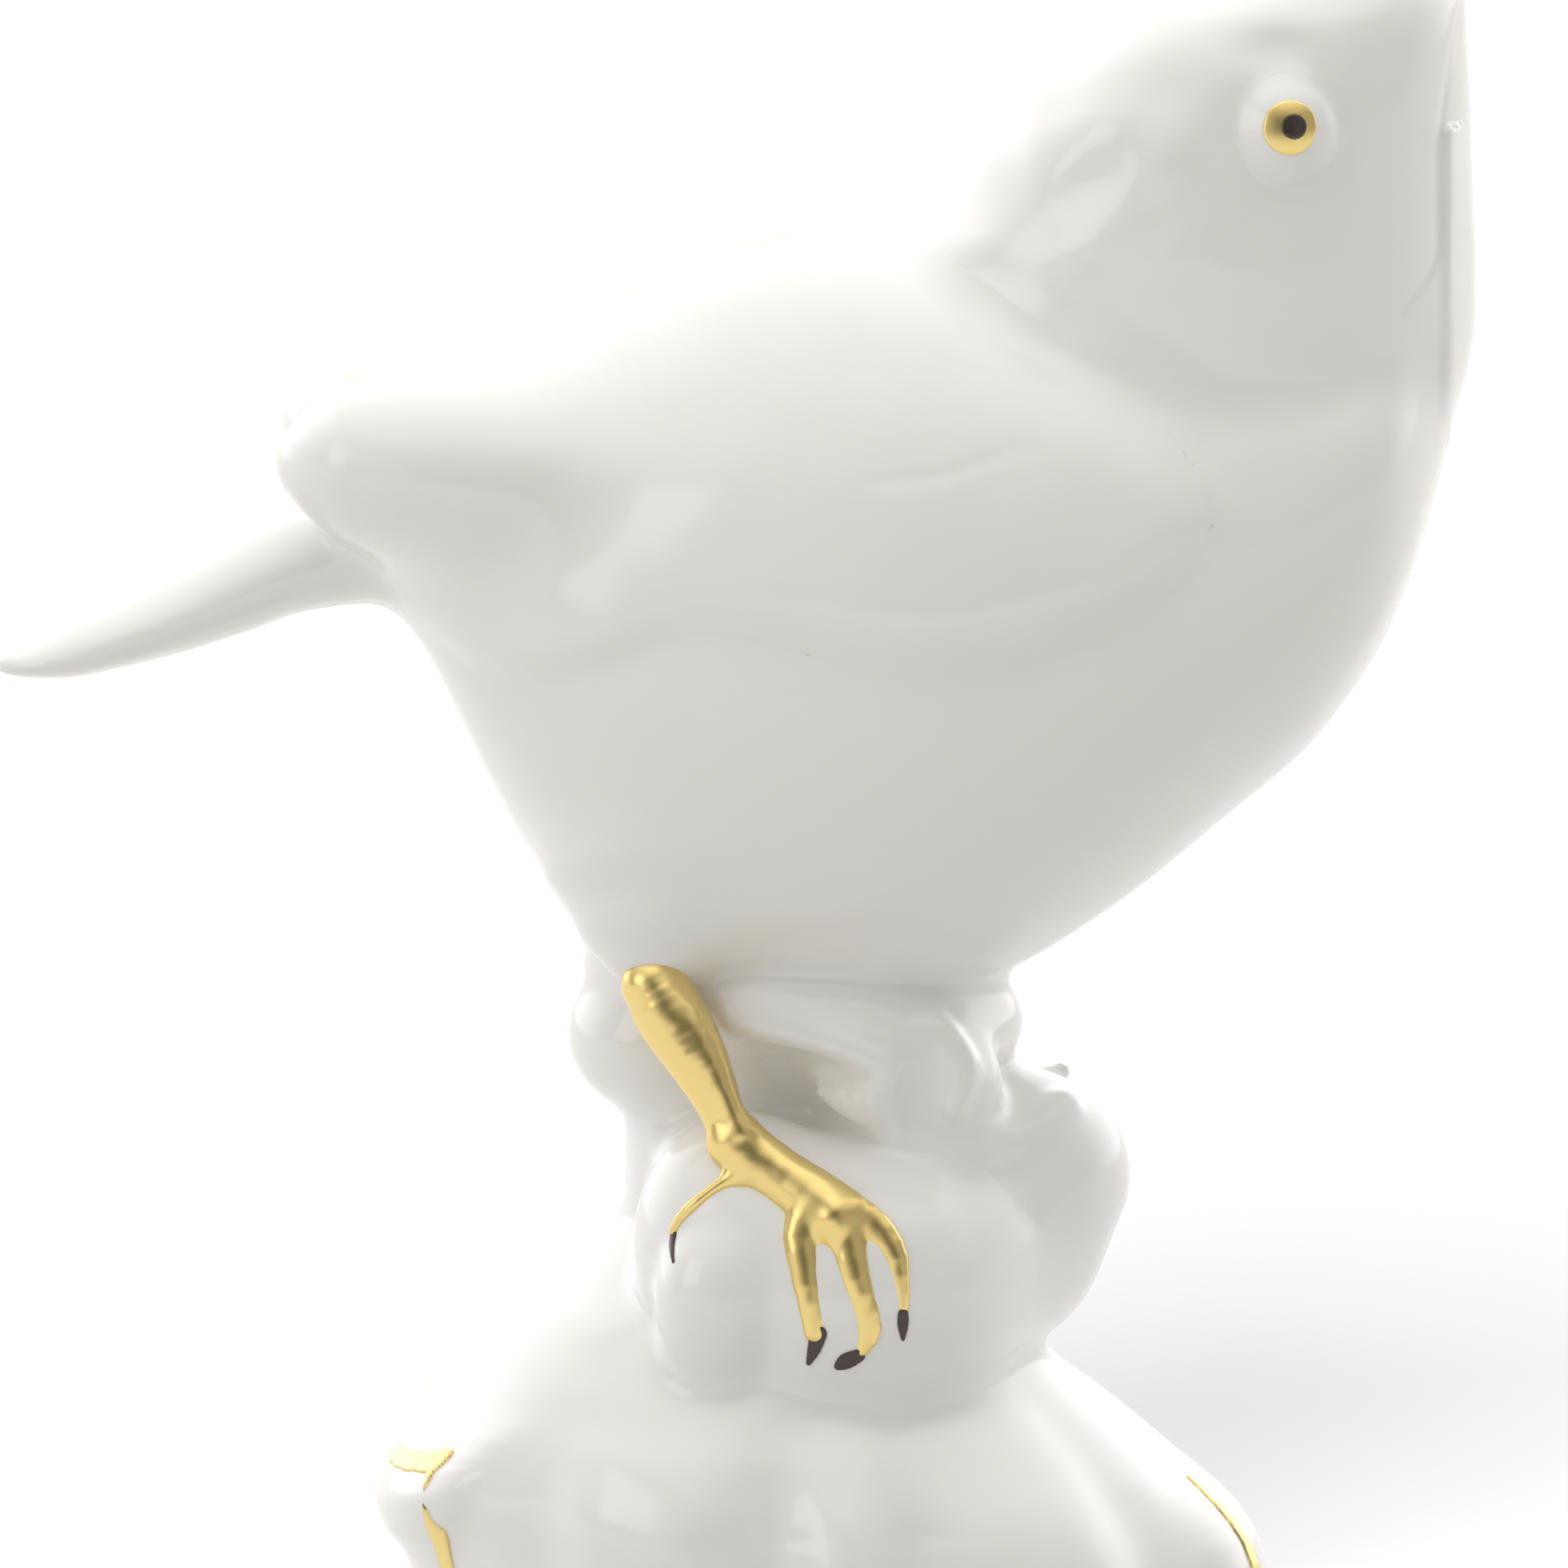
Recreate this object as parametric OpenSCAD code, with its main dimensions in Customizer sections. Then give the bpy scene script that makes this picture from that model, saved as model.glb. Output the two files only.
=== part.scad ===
// Glazed porcelain songbird on a rocaille base.
// X points the way the bird faces, Z is up, and the origin is the centre of the foot ring on the table.
// The pieces are the cast and hand-built parts that a modeller lutes together, and the painted
// gilding and enamel, which are thin solids of their own.

/* [Base] */
// Outer radius of the mound where it meets the foot ring
mound_r = 34; // [30:0.5:42]
// Height of the mound's top above the table
mound_h = 50; // [46:0.5:56]
// Depth of the soft ribs that run down the mound, as a share of its radius
rib_depth = 0.035; // [0:0.005:0.06]
// Wall of the hollow mound
mound_wall = 3.6; // [2.5:0.1:5]
// Height of the unglazed foot ring
ring_h = 3; // [2:0.1:4.5]
// Width of the unglazed foot ring
ring_w = 4.2; // [3:0.1:6]
// Width of a scroll crest, measured round the mound
scroll_w = 18; // [12:0.5:24]
// Thickness of a scroll crest
scroll_t = 5; // [3.5:0.1:6.5]
// Height of the crest under the breast, as a share of the one under the tail
breast_crest = 0.7; // [0.6:0.01:1]
// Height of the crests under the wings, as a share of the one under the tail
side_crest = 0.66; // [0.55:0.01:1]
// Diameter of the gilt line along a scroll crest
gilt_d = 1.6; // [1:0.1:2.2]

/* [Rock] */
// Width of the rock column from tail side to breast side
column_l = 28; // [22:0.5:34]
// Width of the rock column from wing to wing
column_w = 25; // [20:0.5:32]
// Width of the boulder under each foot
boulder_l = 26; // [22:0.5:32]
// Height of the boulder under each foot
boulder_h = 22; // [18:0.5:26]
// Distance from the middle plane to the outer face of a boulder
boulder_reach = 23; // [20:0.5:28]

/* [Bird] */
// Length of the body from rump to breast
body_l = 83; // [70:1:100]
// Height of the body from belly to back
body_h = 57.5; // [48:0.5:70]
// Width of the body
body_w = 46.5; // [38:0.5:56]
// Height of the belly above the table
belly_z = 60.5; // [58:0.5:66]
// Length of the head from nape to throat
head_l = 39.5; // [33:0.5:47]
// Height of the head and neck above the back of the body
head_h = 36; // [30:0.5:43]
// Width of the head
head_w = 33.5; // [28:0.5:40]
// Wall of the hollow body and head
cast_wall = 3.2; // [2.4:0.1:4.5]
// Length of the beak
beak_l = 10.5; // [8:0.5:14]
// Thickness of the beak where it leaves the face
beak_d = 6.6; // [5:0.2:8]
// Lift of the beak above the horizon in degrees
beak_lift = 52; // [35:1:65]
// How far a wing stands out of the body
wing_t = 1.6; // [1:0.1:2.6]
// Length of the wing tip past the rump
wing_tip_l = 5; // [3:0.5:9]
// Length of the tail behind the rump
tail_l = 27; // [20:0.5:34]
// Width of the tail near its end
tail_w = 16; // [12:0.5:20]

/* [Legs and eyes] */
// Diameter of the leg where it leaves the belly
shank_d = 5.6; // [4.4:0.1:7]
// Diameter of the leg at the ankle
ankle_d = 3.2; // [2.4:0.1:4]
// Diameter of a toe
toe_d = 2.5; // [2:0.1:3.2]
// Length of a claw
claw_l = 3.2; // [2.4:0.1:4]
// Radius of the rounded lid that holds the eye
eye_r = 4.5; // [3.6:0.1:5.4]
// How far the lid stands out of the head
eye_out = 1.3; // [0.8:0.1:2]
// Diameter of the gilt iris
iris_d = 4; // [3:0.1:5]
// Diameter of the dark pupil
pupil_d = 1.9; // [1.4:0.1:2.4]
// Diameter of a firing vent
vent_d = 3; // [2:0.1:4]

/* [Hidden] */

$fn = 64;
crest_out = [2.4, -1.2, 2.7];   // how far the breast, tail and side crests stand out past their path
seat = 0.06;          // play between a piece with true curves and its socket
glaze_t = 0.25;       // thickness of gilding and enamel on the eye
side_n = 40;          // points round a body or head section
rib_n = 5;            // ribs round the mound
mound_n = 60;         // points round the mound

body_x0 = -35;                  // rump end of the body
body_x1 = body_x0 + body_l;     // breast end of the body
back_z = belly_z + body_h;      // height of the back
head_x1 = body_x1;              // the throat rises straight from the breast
head_x0 = head_x1 - head_l;     // nape
head_z = back_z - 14;           // where the neck starts inside the body
crown_z = back_z + head_h - 14; // top of the head
column_x = -0.5;                // middle of the rock column

porcelain = [0.93, 0.92, 0.9];
gilding = [0.82, 0.66, 0.26];
enamel = [0.2, 0.16, 0.15];
bisque = [0.86, 0.83, 0.77];

// Stations of the body: share of length, bottom and top as shares of height, share of half width.
BODY = [[0, 0.565, 0.72, 0.2], [0.06, 0.487, 0.826, 0.4], [0.132, 0.287, 0.847, 0.6],
    [0.205, 0.122, 0.883, 0.78], [0.3, 0.035, 0.94, 0.91], [0.42, 0, 0.985, 0.99],
    [0.542, 0.01, 1, 1], [0.663, 0.104, 0.98, 0.97], [0.783, 0.243, 0.97, 0.88],
    [0.88, 0.388, 0.97, 0.76], [0.952, 0.57, 0.98, 0.56], [0.993, 0.75, 0.965, 0.26]];

// Stations of the head: share of height, back and front as shares of length, share of half width.
HEAD = [[0, 0.15, 0.99, 0.86], [0.22, 0.03, 1, 1], [0.36, 0, 1, 1], [0.47, 0.03, 0.998, 0.985],
    [0.61, 0.085, 0.993, 0.965], [0.72, 0.16, 0.99, 0.92], [0.82, 0.26, 0.985, 0.83],
    [0.9, 0.41, 0.97, 0.68], [0.97, 0.6, 0.935, 0.44], [1, 0.71, 0.86, 0.18]];

// Stations of the mound: share of height, share of radius.
MOUND = [[0, 1], [0.12, 0.985], [0.24, 0.945], [0.37, 0.925], [0.5, 0.87], [0.6, 0.785],
    [0.68, 0.675], [0.76, 0.56], [0.85, 0.465], [0.94, 0.39], [1, 0.3]];

// Smooth value between stations p1 and p2, with p0 and p3 before and after them.
function ease(p0, p1, p2, p3, t) =
    p1 + t * (p2 - p0) / 2 + t * t * (p0 - 2.5 * p1 + 2 * p2 - p3 / 2)
    + t * t * t * (p3 / 2 - 1.5 * p2 + 1.5 * p1 - p0 / 2);

// Stations with `steps` smooth steps between each pair of rows.
function smooth(rows, steps) = let (n = len(rows) - 1) [
    for (i = [0 : n - 1], k = [0 : steps - 1])
        ease(rows[max(i - 1, 0)], rows[i], rows[i + 1], rows[min(i + 2, n)], k / steps),
    rows[n]];

// Closed solid through rings of points, each ring turning the same way.
module loft(rings) {
    n = len(rings[0]);
    m = len(rings);
    function middle(ring) = [1, 1, 1] * [for (axis = [0 : 2])
        [for (column = [0 : 2]) column == axis ? sum([for (p = ring) p[axis]]) / n : 0]];
    points = [each [for (ring = rings) each ring], middle(rings[0]), middle(rings[m - 1])];
    sides = [for (i = [0 : m - 2], j = [0 : n - 1]) let (k = (j + 1) % n)
        each [[i * n + j, (i + 1) * n + k, (i + 1) * n + j], [i * n + j, i * n + k, (i + 1) * n + k]]];
    low_cap = [for (j = [0 : n - 1]) [m * n, (j + 1) % n, j]];
    high_cap = [for (j = [0 : n - 1]) [m * n + 1, (m - 1) * n + j, (m - 1) * n + (j + 1) % n]];
    polyhedron(points, concat(sides, low_cap, high_cap));
}

function sum(list) = len(list) == 0 ? 0 : list * [for (v = list) 1];

// Ring of an upright section across X, and of a level section across Z.
function ring_x(x, z0, z1, half_w, n) = [for (j = [0 : n - 1]) let (a = 360 * j / n)
    [x, half_w * sin(a), (z0 + z1) / 2 + (z1 - z0) / 2 * cos(a)]];
function ring_z(z, x0, x1, half_w, n) = [for (j = [0 : n - 1]) let (a = 360 * j / n)
    [(x0 + x1) / 2 + (x1 - x0) / 2 * cos(a), -half_w * sin(a), z]];

// Makes one clean solid of smooth forms that are joined and cut.
module luted() {
    resize([0, 0, 0]) children();
}

module ellipsoid(centre, radii, n = 20) {
    translate(centre) scale(radii) sphere(1, $fn = n);
}

// ---- forms: the outer shapes that pieces are made of and cut by ----

// Body of the bird, larger all round by grow.
module body_form(grow = 0, n = side_n, steps = 2) {
    loft([for (s = smooth(BODY, steps)) ring_x(
        body_x0 + body_l / 2 + (s[0] - 0.5) * (body_l + 2 * grow),
        belly_z + s[1] * body_h - grow, belly_z + s[2] * body_h + grow,
        s[3] * body_w / 2 + grow, n)]);
}

module head_form(grow = 0, n = side_n, steps = 2) {
    loft([for (s = smooth(HEAD, steps)) ring_z(
        head_z + s[0] * (crown_z - head_z + grow),
        head_x0 + s[1] * head_l - grow, head_x0 + s[2] * head_l + grow,
        s[3] * head_w / 2 + grow, n)]);
}

function mound_radius(share, a, shrink) =
    lookup(share, MOUND) * mound_r * (1 + rib_depth * cos(rib_n * a) * sin(180 * min(1, share + 0.1)))
    - shrink;

module mound_form(shrink = 0, n = mound_n) {
    loft([for (s = smooth(MOUND, 1)) let (z = ring_h + s[0] * (mound_h - ring_h - shrink))
        [for (j = [0 : n - 1]) let (a = 360 * j / n, r = max(1, mound_radius(s[0], a, shrink)))
            [r * cos(a), -r * sin(a), z]]]);
}

module column_form() {
    z0 = mound_h - 16;
    z1 = belly_z + 10;
    rows = [[0, 1.1, 1.15], [0.2, 1.08, 1.1], [0.45, 0.96, 1], [0.7, 0.94, 0.94], [0.85, 0.98, 0.95], [1, 1, 1]];
    loft([for (s = smooth(rows, 2)) ring_z(z0 + s[0] * (z1 - z0),
        column_x - s[1] * column_l / 2, column_x + s[1] * column_l / 2, s[2] * column_w / 2, 32)]);
    ellipsoid([column_x + column_l / 2, -1, mound_h - 1.5], [9.5, 9.5, 7.8]);
    ellipsoid([column_x - column_l / 2 + 2.5, 1, mound_h + 8], [7.2, 8.5, 5.8]);
    ellipsoid([column_x - column_l / 2 + 1, -1, mound_h + 14.3], [4.6, 6, 3.4]);
    ellipsoid([column_x + 3, -column_w / 2 + 1, mound_h + 2], [8, 4, 7]);
}

boulder_c = [1.5, boulder_reach - 10.5, mound_h - 8];
boulder_half = [boulder_l / 2, 10.5, boulder_h / 2];

// Rounded boulder under a foot; side is -1 on the bird's right and 1 on its left.
module boulder_form(side) {
    ellipsoid([boulder_c[0], side * boulder_c[1], boulder_c[2]], boulder_half, 28);
    ellipsoid([boulder_c[0] - 7.4, side * (boulder_c[1] + 4), boulder_c[2] - 1], [6, 5.6, 6.4]);
}

// Point on the face of the main boulder at x and z, lifted out by rise.
function on_boulder(side, x, z, rise) = let (
    u = (x - boulder_c[0]) / boulder_half[0], w = (z - boulder_c[2]) / boulder_half[2],
    y = boulder_half[1] * sqrt(max(0.02, 1 - u * u - w * w)),
    out = [u / boulder_half[0], y / pow(boulder_half[1], 2), w / boulder_half[2]],
    p = [x, boulder_c[1] + y, z] + rise * out / norm(out))
    [p[0], side * p[1], p[2]];

// Chain of rounded links through points of the form [place, diameter].
module limb(links) {
    for (i = [0 : len(links) - 2]) hull() {
        translate(links[i][0]) sphere(d = links[i][1], $fn = 10);
        translate(links[i + 1][0]) sphere(d = links[i + 1][1], $fn = 10);
    }
}

// ---- base ----

module foot_ring() {
    color(bisque) rotate_extrude($fn = 96)
        translate([mound_r * 0.97 - ring_w, 0]) square([ring_w, ring_h]);
}

module base_mound() {
    color(porcelain) luted() difference() {
        mound_form();
        mound_form(mound_wall, 30);
        translate([0, 0, ring_h - 1]) cylinder(r = mound_r * 0.97 - ring_w, h = 4, $fn = 64);
    }
}

// Path of a scroll crest as radius and height: out at the top, in at the waist, out at the foot.
SCROLL = [[0.76, 0.6], [0.88, 0.585], [0.955, 0.515], [0.925, 0.42], [0.91, 0.3], [0.975, 0.18], [1.07, 0.1]];

// Share of a scroll's full width at a place from 0 at its crest to 1 at its foot.
function scroll_taper(place) = 0.62 + 0.38 * sin(180 * place);

// Path of a crest in millimetres, from its height as a share of the tail crest's and how far it stands out.
function scroll_path(rise, out) = [for (p = smooth(SCROLL, 3)) [p[0] * mound_r + out, p[1] * mound_h * rise]];

module scroll_form(turn, rise, out) {
    path = scroll_path(rise, out);
    n = len(path) - 1;
    rotate(turn) for (i = [0 : n - 1]) hull() for (k = [i, i + 1])
        translate([path[k][0], 0, path[k][1]])
            scale([scroll_t / 2, scroll_w / 2 * scroll_taper(k / n), scroll_t / 2]) sphere(1, $fn = 10);
}

module scroll(turn, rise, out) {
    color(porcelain) luted() difference() {
        scroll_form(turn, rise, out);
        mound_form();
        translate([0, 0, -1]) cylinder(r = mound_r * 2, h = 1 + ring_h / 2, $fn = 24);
    }
}

// Gilt line along one rim of a scroll; rim is -1 or 1, the side of the scroll that it runs on.
module gilt_line(turn, rim, rise, stand) {
    path = scroll_path(rise, stand);
    n = len(path) - 1;
    color(gilding) luted() difference() {
        rotate(turn) limb([for (k = [0 : n]) let (
            along = path[min(n, k + 1)] - path[max(0, k - 1)],
            out = [-along[1], along[0]] / norm(along) * scroll_t * 0.3)
            [[path[k][0] + out[0], rim * scroll_w * 0.42 * scroll_taper(k / n), path[k][1] + out[1]], gilt_d]]);
        scroll_form(turn, rise, stand);
        mound_form();
        translate([0, 0, -1]) cylinder(r = mound_r * 2, h = 1 + ring_h / 2, $fn = 24);
    }
}

// ---- rock ----

module rock_column() {
    color(porcelain) luted() difference() {
        column_form();
        mound_form();
        body_form();
    }
}

module boulder(side) {
    color(porcelain) luted() difference() {
        boulder_form(side);
        column_form();
        mound_form();
        body_form();
    }
}

// ---- bird ----

module bird_body() {
    color(porcelain) luted() difference() {
        body_form();
        body_form(-cast_wall, 28, 1);
        translate([column_x, 0, belly_z - 2]) cylinder(d = vent_d, h = cast_wall + 6, $fn = 24);
    }
}

module bird_head() {
    color(porcelain) luted() difference() {
        head_form();
        body_form();
        intersection() {
            head_form(-cast_wall, 28, 1);
            translate([0, 0, back_z + 1]) cylinder(r = 100, h = 100, $fn = 12);
        }
        for (side = [-1, 1]) translate(eye_place(side)) sphere(eye_r + seat, $fn = 24);
    }
}

// Half width of the head at a station's x and z, for seating the eye.
function head_half(x, z) = let (
    f = (z - head_z) / (crown_z - head_z),
    x0 = head_x0 + lookup(f, [for (s = HEAD) [s[0], s[1]]]) * head_l,
    x1 = head_x0 + lookup(f, [for (s = HEAD) [s[0], s[2]]]) * head_l,
    w = lookup(f, [for (s = HEAD) [s[0], s[3]]]) * head_w / 2,
    u = (x - (x0 + x1) / 2) / ((x1 - x0) / 2))
    w * sqrt(max(0, 1 - u * u));

eye_x = head_x0 + 0.655 * head_l;
eye_z = head_z + 0.7 * (crown_z - head_z);
function eye_place(side) = [eye_x, side * (head_half(eye_x, eye_z) + eye_out - eye_r), eye_z];

module eye(side) {
    color(porcelain) translate(eye_place(side)) sphere(eye_r, $fn = 48);
}

// Painted disc on the eye between two radii.
module eye_paint(side, d_in, d_out, thick) {
    translate(eye_place(side)) rotate([-90 * side, 0, 0]) difference() {
        intersection() {
            sphere(eye_r + thick, $fn = 48);
            cylinder(d = d_out, h = eye_r + 1, $fn = 32);
        }
        sphere(eye_r, $fn = 48);
        if (d_in > 0) translate([0, 0, -1]) cylinder(d = d_in, h = eye_r + 3, $fn = 32);
    }
}

module iris(side) {
    color(gilding) eye_paint(side, pupil_d, iris_d, glaze_t);
}

module pupil(side) {
    color(enamel) eye_paint(side, 0, pupil_d, glaze_t);
}

beak_base = [head_x1 - 3.6, 0, crown_z - 1.6];

// Half of the beak: part is 1 for the upper and -1 for the lower.
module beak(part) {
    reach = part > 0 ? beak_l : beak_l * 0.9;
    color(porcelain) luted() difference() {
        translate(beak_base) rotate([0, -beak_lift, 0]) intersection() {
            hull() {
                translate([-3, 0, 0]) sphere(d = beak_d, $fn = 24);
                translate([reach * 0.35, 0, 0.2 * part]) sphere(d = beak_d * 0.66, $fn = 24);
                translate([reach - 0.5, 0, 0.25 * part]) sphere(d = 1, $fn = 16);
            }
            translate([-20, -20, part > 0 ? 0 : -40]) cube([60, 40, 40]);
        }
        head_form();
        body_form();
    }
}

// Outline of a folded wing seen from the side, from the tip under the wing to the shoulder.
module wing_outline() {
    rows = [[-0.06, 0.6], [0.05, 0.485], [0.19, 0.468], [0.34, 0.51], [0.5, 0.468], [0.6, 0.475], [0.71, 0.55],
        [0.775, 0.67], [0.785, 0.8], [0.72, 0.92], [0.6, 1.02], [0.4, 1.08], [0.1, 1.06], [-0.1, 0.9], [-0.12, 0.72]];
    polygon([for (p = smooth(rows, 2)) [body_x0 + p[0] * body_l, belly_z + p[1] * body_h]]);
}

// Fleshy tip of the left wing, past the rump.
module wing_tip_form() {
    hull() {
        ellipsoid([body_x0 + 9, 7.5, belly_z + 0.745 * body_h], [7, 6, 7]);
        ellipsoid([body_x0 + 5.5 - wing_tip_l, 3.6, belly_z + 0.77 * body_h], [4.6, 3.6, 5.4]);
    }
}

module wing(side) {
    color(porcelain) luted() mirror([0, side > 0 ? 0 : 1, 0]) difference() {
        intersection() {
            union() {
                body_form(wing_t, 36, 1);
                wing_tip_form();
            }
            rotate([90, 0, 0]) linear_extrude(height = 100, center = true) wing_outline();
            translate([-100, 0.3, 0]) cube([200, 60, 200]);
        }
        body_form();
        head_form();
    }
}

// Stations of the tail: share of length from the rump, bottom and top in shares of the length, half width share.
TAIL = [[-0.25, -0.13, 0.14, 0.7], [0, -0.18, 0.13, 0.8], [0.4, -0.3, -0.03, 0.92], [0.68, -0.35, -0.14, 1],
    [0.9, -0.34, -0.22, 0.88], [0.99, -0.32, -0.28, 0.5]];

module tail() {
    z = belly_z + 0.62 * body_h;
    color(porcelain) luted() difference() {
        loft([for (s = smooth(TAIL, 2)) ring_x(body_x0 - s[0] * tail_l, z + s[2] * tail_l, z + s[1] * tail_l,
            s[3] * tail_w / 2, 24)]);
        body_form();
        wing_tip_form();
        mirror([0, 1, 0]) wing_tip_form();
        body_form(wing_t, 36, 1);
    }
}

// ---- legs ----

// Height of the body's underside at x and y, from the stations of the body.
function body_under(x, y) = let (
    rows = smooth(BODY, 2),
    part = [for (k = [1 : 3]) lookup((x - body_x0) / body_l, [for (s = rows) [s[0], s[k]]])],
    dip = sqrt(1 - pow(y / (part[2] * body_w / 2), 2)))
    belly_z + body_h * ((part[0] + part[1]) / 2 - (part[1] - part[0]) / 2 * dip);

hip_drop = 3.761;     // how far the top of the leg lies below the side of the body above it
hip = [-12.2, 13.5, body_under(-12.2, 13.5) - hip_drop];
ankle = [-6.2, boulder_c[1] + 8.2, boulder_c[2] + boulder_h / 2 - 0.5];
palm = [0.5, boulder_c[2] + 7];
// Each toe: the x and z of its knuckle and of its end.
TOES = [[-1, 4, -0.6, -2.4], [2.3, 4.2, 3.4, -3], [5, 5.2, 6.4, -1.2]];
hind_toe = [[-8.6, 7], [-10.4, 3]];

function mirror_y(side, p) = [p[0], side * p[1], p[2]];
function on_rock(side, x, dz, rise) = on_boulder(side, x, boulder_c[2] + dz, rise);

module leg(side) {
    a = mirror_y(side, ankle);
    knuckle = on_boulder(side, palm[0], palm[1], toe_d * 0.2);
    color(gilding) luted() difference() {
        union() {
            limb([[mirror_y(side, hip), shank_d], [(mirror_y(side, hip) + a) / 2, (shank_d + ankle_d) / 2], [a, ankle_d]]);
            limb([[a, ankle_d], [knuckle, toe_d * 1.5]]);
            for (t = TOES) limb([[knuckle, toe_d * 1.4], [on_rock(side, t[0], t[1], toe_d * 0.2), toe_d * 1.1],
                [on_rock(side, t[2], t[3], toe_d * 0.15), toe_d * 0.8]]);
            limb([[a, ankle_d], [on_rock(side, hind_toe[0][0], hind_toe[0][1], toe_d * 0.2), toe_d],
                [on_rock(side, hind_toe[1][0], hind_toe[1][1], toe_d * 0.1), toe_d * 0.7]]);
        }
        boulder_form(side);
        column_form();
        body_form();
        claw_set(side);
    }
}

module claw_set(side) {
    for (t = concat([for (t = TOES) [t[2], t[3]]], [hind_toe[1]]))
        limb([[on_rock(side, t[0], t[1] - toe_d * 0.3, toe_d * 0.25), toe_d * 0.75],
            [on_rock(side, t[0], t[1] - claw_l, 0.1), toe_d * 0.35]]);
}

module claws(side) {
    color(enamel) luted() difference() {
        claw_set(side);
        boulder_form(side);
        column_form();
        mound_form();
    }
}

foot_ring();
base_mound();
scroll(0, breast_crest, crest_out[0]);  // front_scroll
scroll(-90, side_crest, crest_out[2]);  // right_scroll
scroll(180, 1, crest_out[1]);  // back_scroll
scroll(90, side_crest, crest_out[2]);  // left_scroll
gilt_line(0, -1, breast_crest, crest_out[0]);  // front_gilt_line
gilt_line(-90, 1, side_crest, crest_out[2]);  // right_gilt_line
gilt_line(180, 1, 1, crest_out[1]);  // back_gilt_line
gilt_line(90, -1, side_crest, crest_out[2]);  // left_gilt_line
rock_column();
boulder(-1);  // right_boulder
boulder(1);  // left_boulder
bird_body();
bird_head();
beak(1);  // upper_beak
beak(-1);  // lower_beak
wing(-1);  // right_wing
wing(1);  // left_wing
tail();
leg(-1);  // right_leg
leg(1);  // left_leg
claws(-1);  // right_claws
claws(1);  // left_claws
eye(-1);  // right_eye
eye(1);  // left_eye
iris(-1);  // right_iris
iris(1);  // left_iris
pupil(-1);  // right_pupil
pupil(1);  // left_pupil
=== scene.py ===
"""Glazed porcelain songbird that looks up from a rock on a rocaille base.

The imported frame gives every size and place. Each piece is sculpted as a closed surface from soft
forms that melt into one another, as slip and glaze do over the joints of fired porcelain, and then
takes its finish: clear glaze, burnished gold, dark enamel or bare bisque. Lengths are in
millimetres while a piece is sculpted, and in metres once it is a mesh.
"""

import logging
import math
from dataclasses import dataclass, field
from enum import Enum
from typing import Callable, Iterable, Sequence

import bpy
import numpy as np
import openvdb
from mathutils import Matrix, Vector


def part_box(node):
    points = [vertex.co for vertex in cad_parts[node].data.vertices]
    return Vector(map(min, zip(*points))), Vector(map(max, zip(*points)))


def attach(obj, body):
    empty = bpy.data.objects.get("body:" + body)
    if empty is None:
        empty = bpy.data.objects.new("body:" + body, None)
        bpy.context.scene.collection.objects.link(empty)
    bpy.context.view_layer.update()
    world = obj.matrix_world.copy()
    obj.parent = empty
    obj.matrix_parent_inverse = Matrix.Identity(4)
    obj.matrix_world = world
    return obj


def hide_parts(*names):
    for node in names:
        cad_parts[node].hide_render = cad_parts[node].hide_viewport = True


MM = 0.001
FAR = 60.0
BODY_NAME = "root"

log = logging.getLogger("songbird")
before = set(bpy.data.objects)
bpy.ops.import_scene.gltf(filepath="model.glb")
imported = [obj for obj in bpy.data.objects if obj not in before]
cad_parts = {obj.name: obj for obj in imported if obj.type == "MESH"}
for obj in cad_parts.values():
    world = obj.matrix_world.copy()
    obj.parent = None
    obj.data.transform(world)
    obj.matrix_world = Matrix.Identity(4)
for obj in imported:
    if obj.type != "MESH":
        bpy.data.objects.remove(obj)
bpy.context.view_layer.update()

Array = np.ndarray
Distance = Callable[[Array], Array]


# ---------------------------------------------------------------- measures


@dataclass(frozen=True)
class Box:
    """Upright box in millimetres, between two corners."""

    low: Array
    high: Array

    @classmethod
    def of(cls, node: str) -> "Box":
        """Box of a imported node.

        Args:
            node: Name of the node.

        Returns:
            The node's box at rest.
        """
        low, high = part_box(node)
        return cls(np.array(low) / MM, np.array(high) / MM)

    @property
    def size(self) -> Array:
        """Length of each side."""
        return self.high - self.low

    def at(self, x: float, y: float, z: float) -> Array:
        """Point at the given shares of the box, from its low corner."""
        return self.low + self.size * np.array([x, y, z])

    def grown(self, by: float) -> "Box":
        """Box with room added on every side."""
        return Box(self.low - by, self.high + by)

    def holds(self, points: Array) -> Array:
        """Mask of the points inside the box."""
        return np.all((points > self.low) & (points < self.high), axis=1)


def melt(a: Array, b: Array, soft: float) -> Array:
    """Joins two distances with a fillet.

    Args:
        a: Distance to the first form.
        b: Distance to the second form.
        soft: Reach of the fillet.

    Returns:
        Distance to the joined form.
    """
    near = np.maximum(soft - np.abs(a - b), 0.0)
    return np.minimum(a, b) - near * near / (4.0 * soft)


def carve(a: Array, b: Array, soft: float) -> Array:
    """Keeps what lies in both forms, with a rounded edge of the given reach."""
    return -melt(-a, -b, soft)


def smooth_rows(rows: Sequence[Sequence[float]], steps: int, closed: bool = False) -> Array:
    """Passes a smooth curve through rows of values.

    Args:
        rows: Values that the curve passes through.
        steps: Steps between two rows.
        closed: Whether the last row leads back to the first.

    Returns:
        Rows along the curve.
    """
    rows = np.array(rows, float)
    n = len(rows)
    last = n if closed else n - 1
    t = (np.arange(steps) / steps)[:, None]
    out = []
    for i in range(last):
        a, b, c, d = (rows[k % n] if closed else rows[min(max(k, 0), n - 1)] for k in range(i - 1, i + 3))
        out.append(b + t * (c - a) / 2 + t**2 * (a - 2.5 * b + 2 * c - d / 2)
                   + t**3 * (d / 2 - 1.5 * c + 1.5 * b - a / 2))
    if not closed:
        out.append(rows[-1:])
    return np.concatenate(out)


# ---------------------------------------------------------------- soft forms


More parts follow.
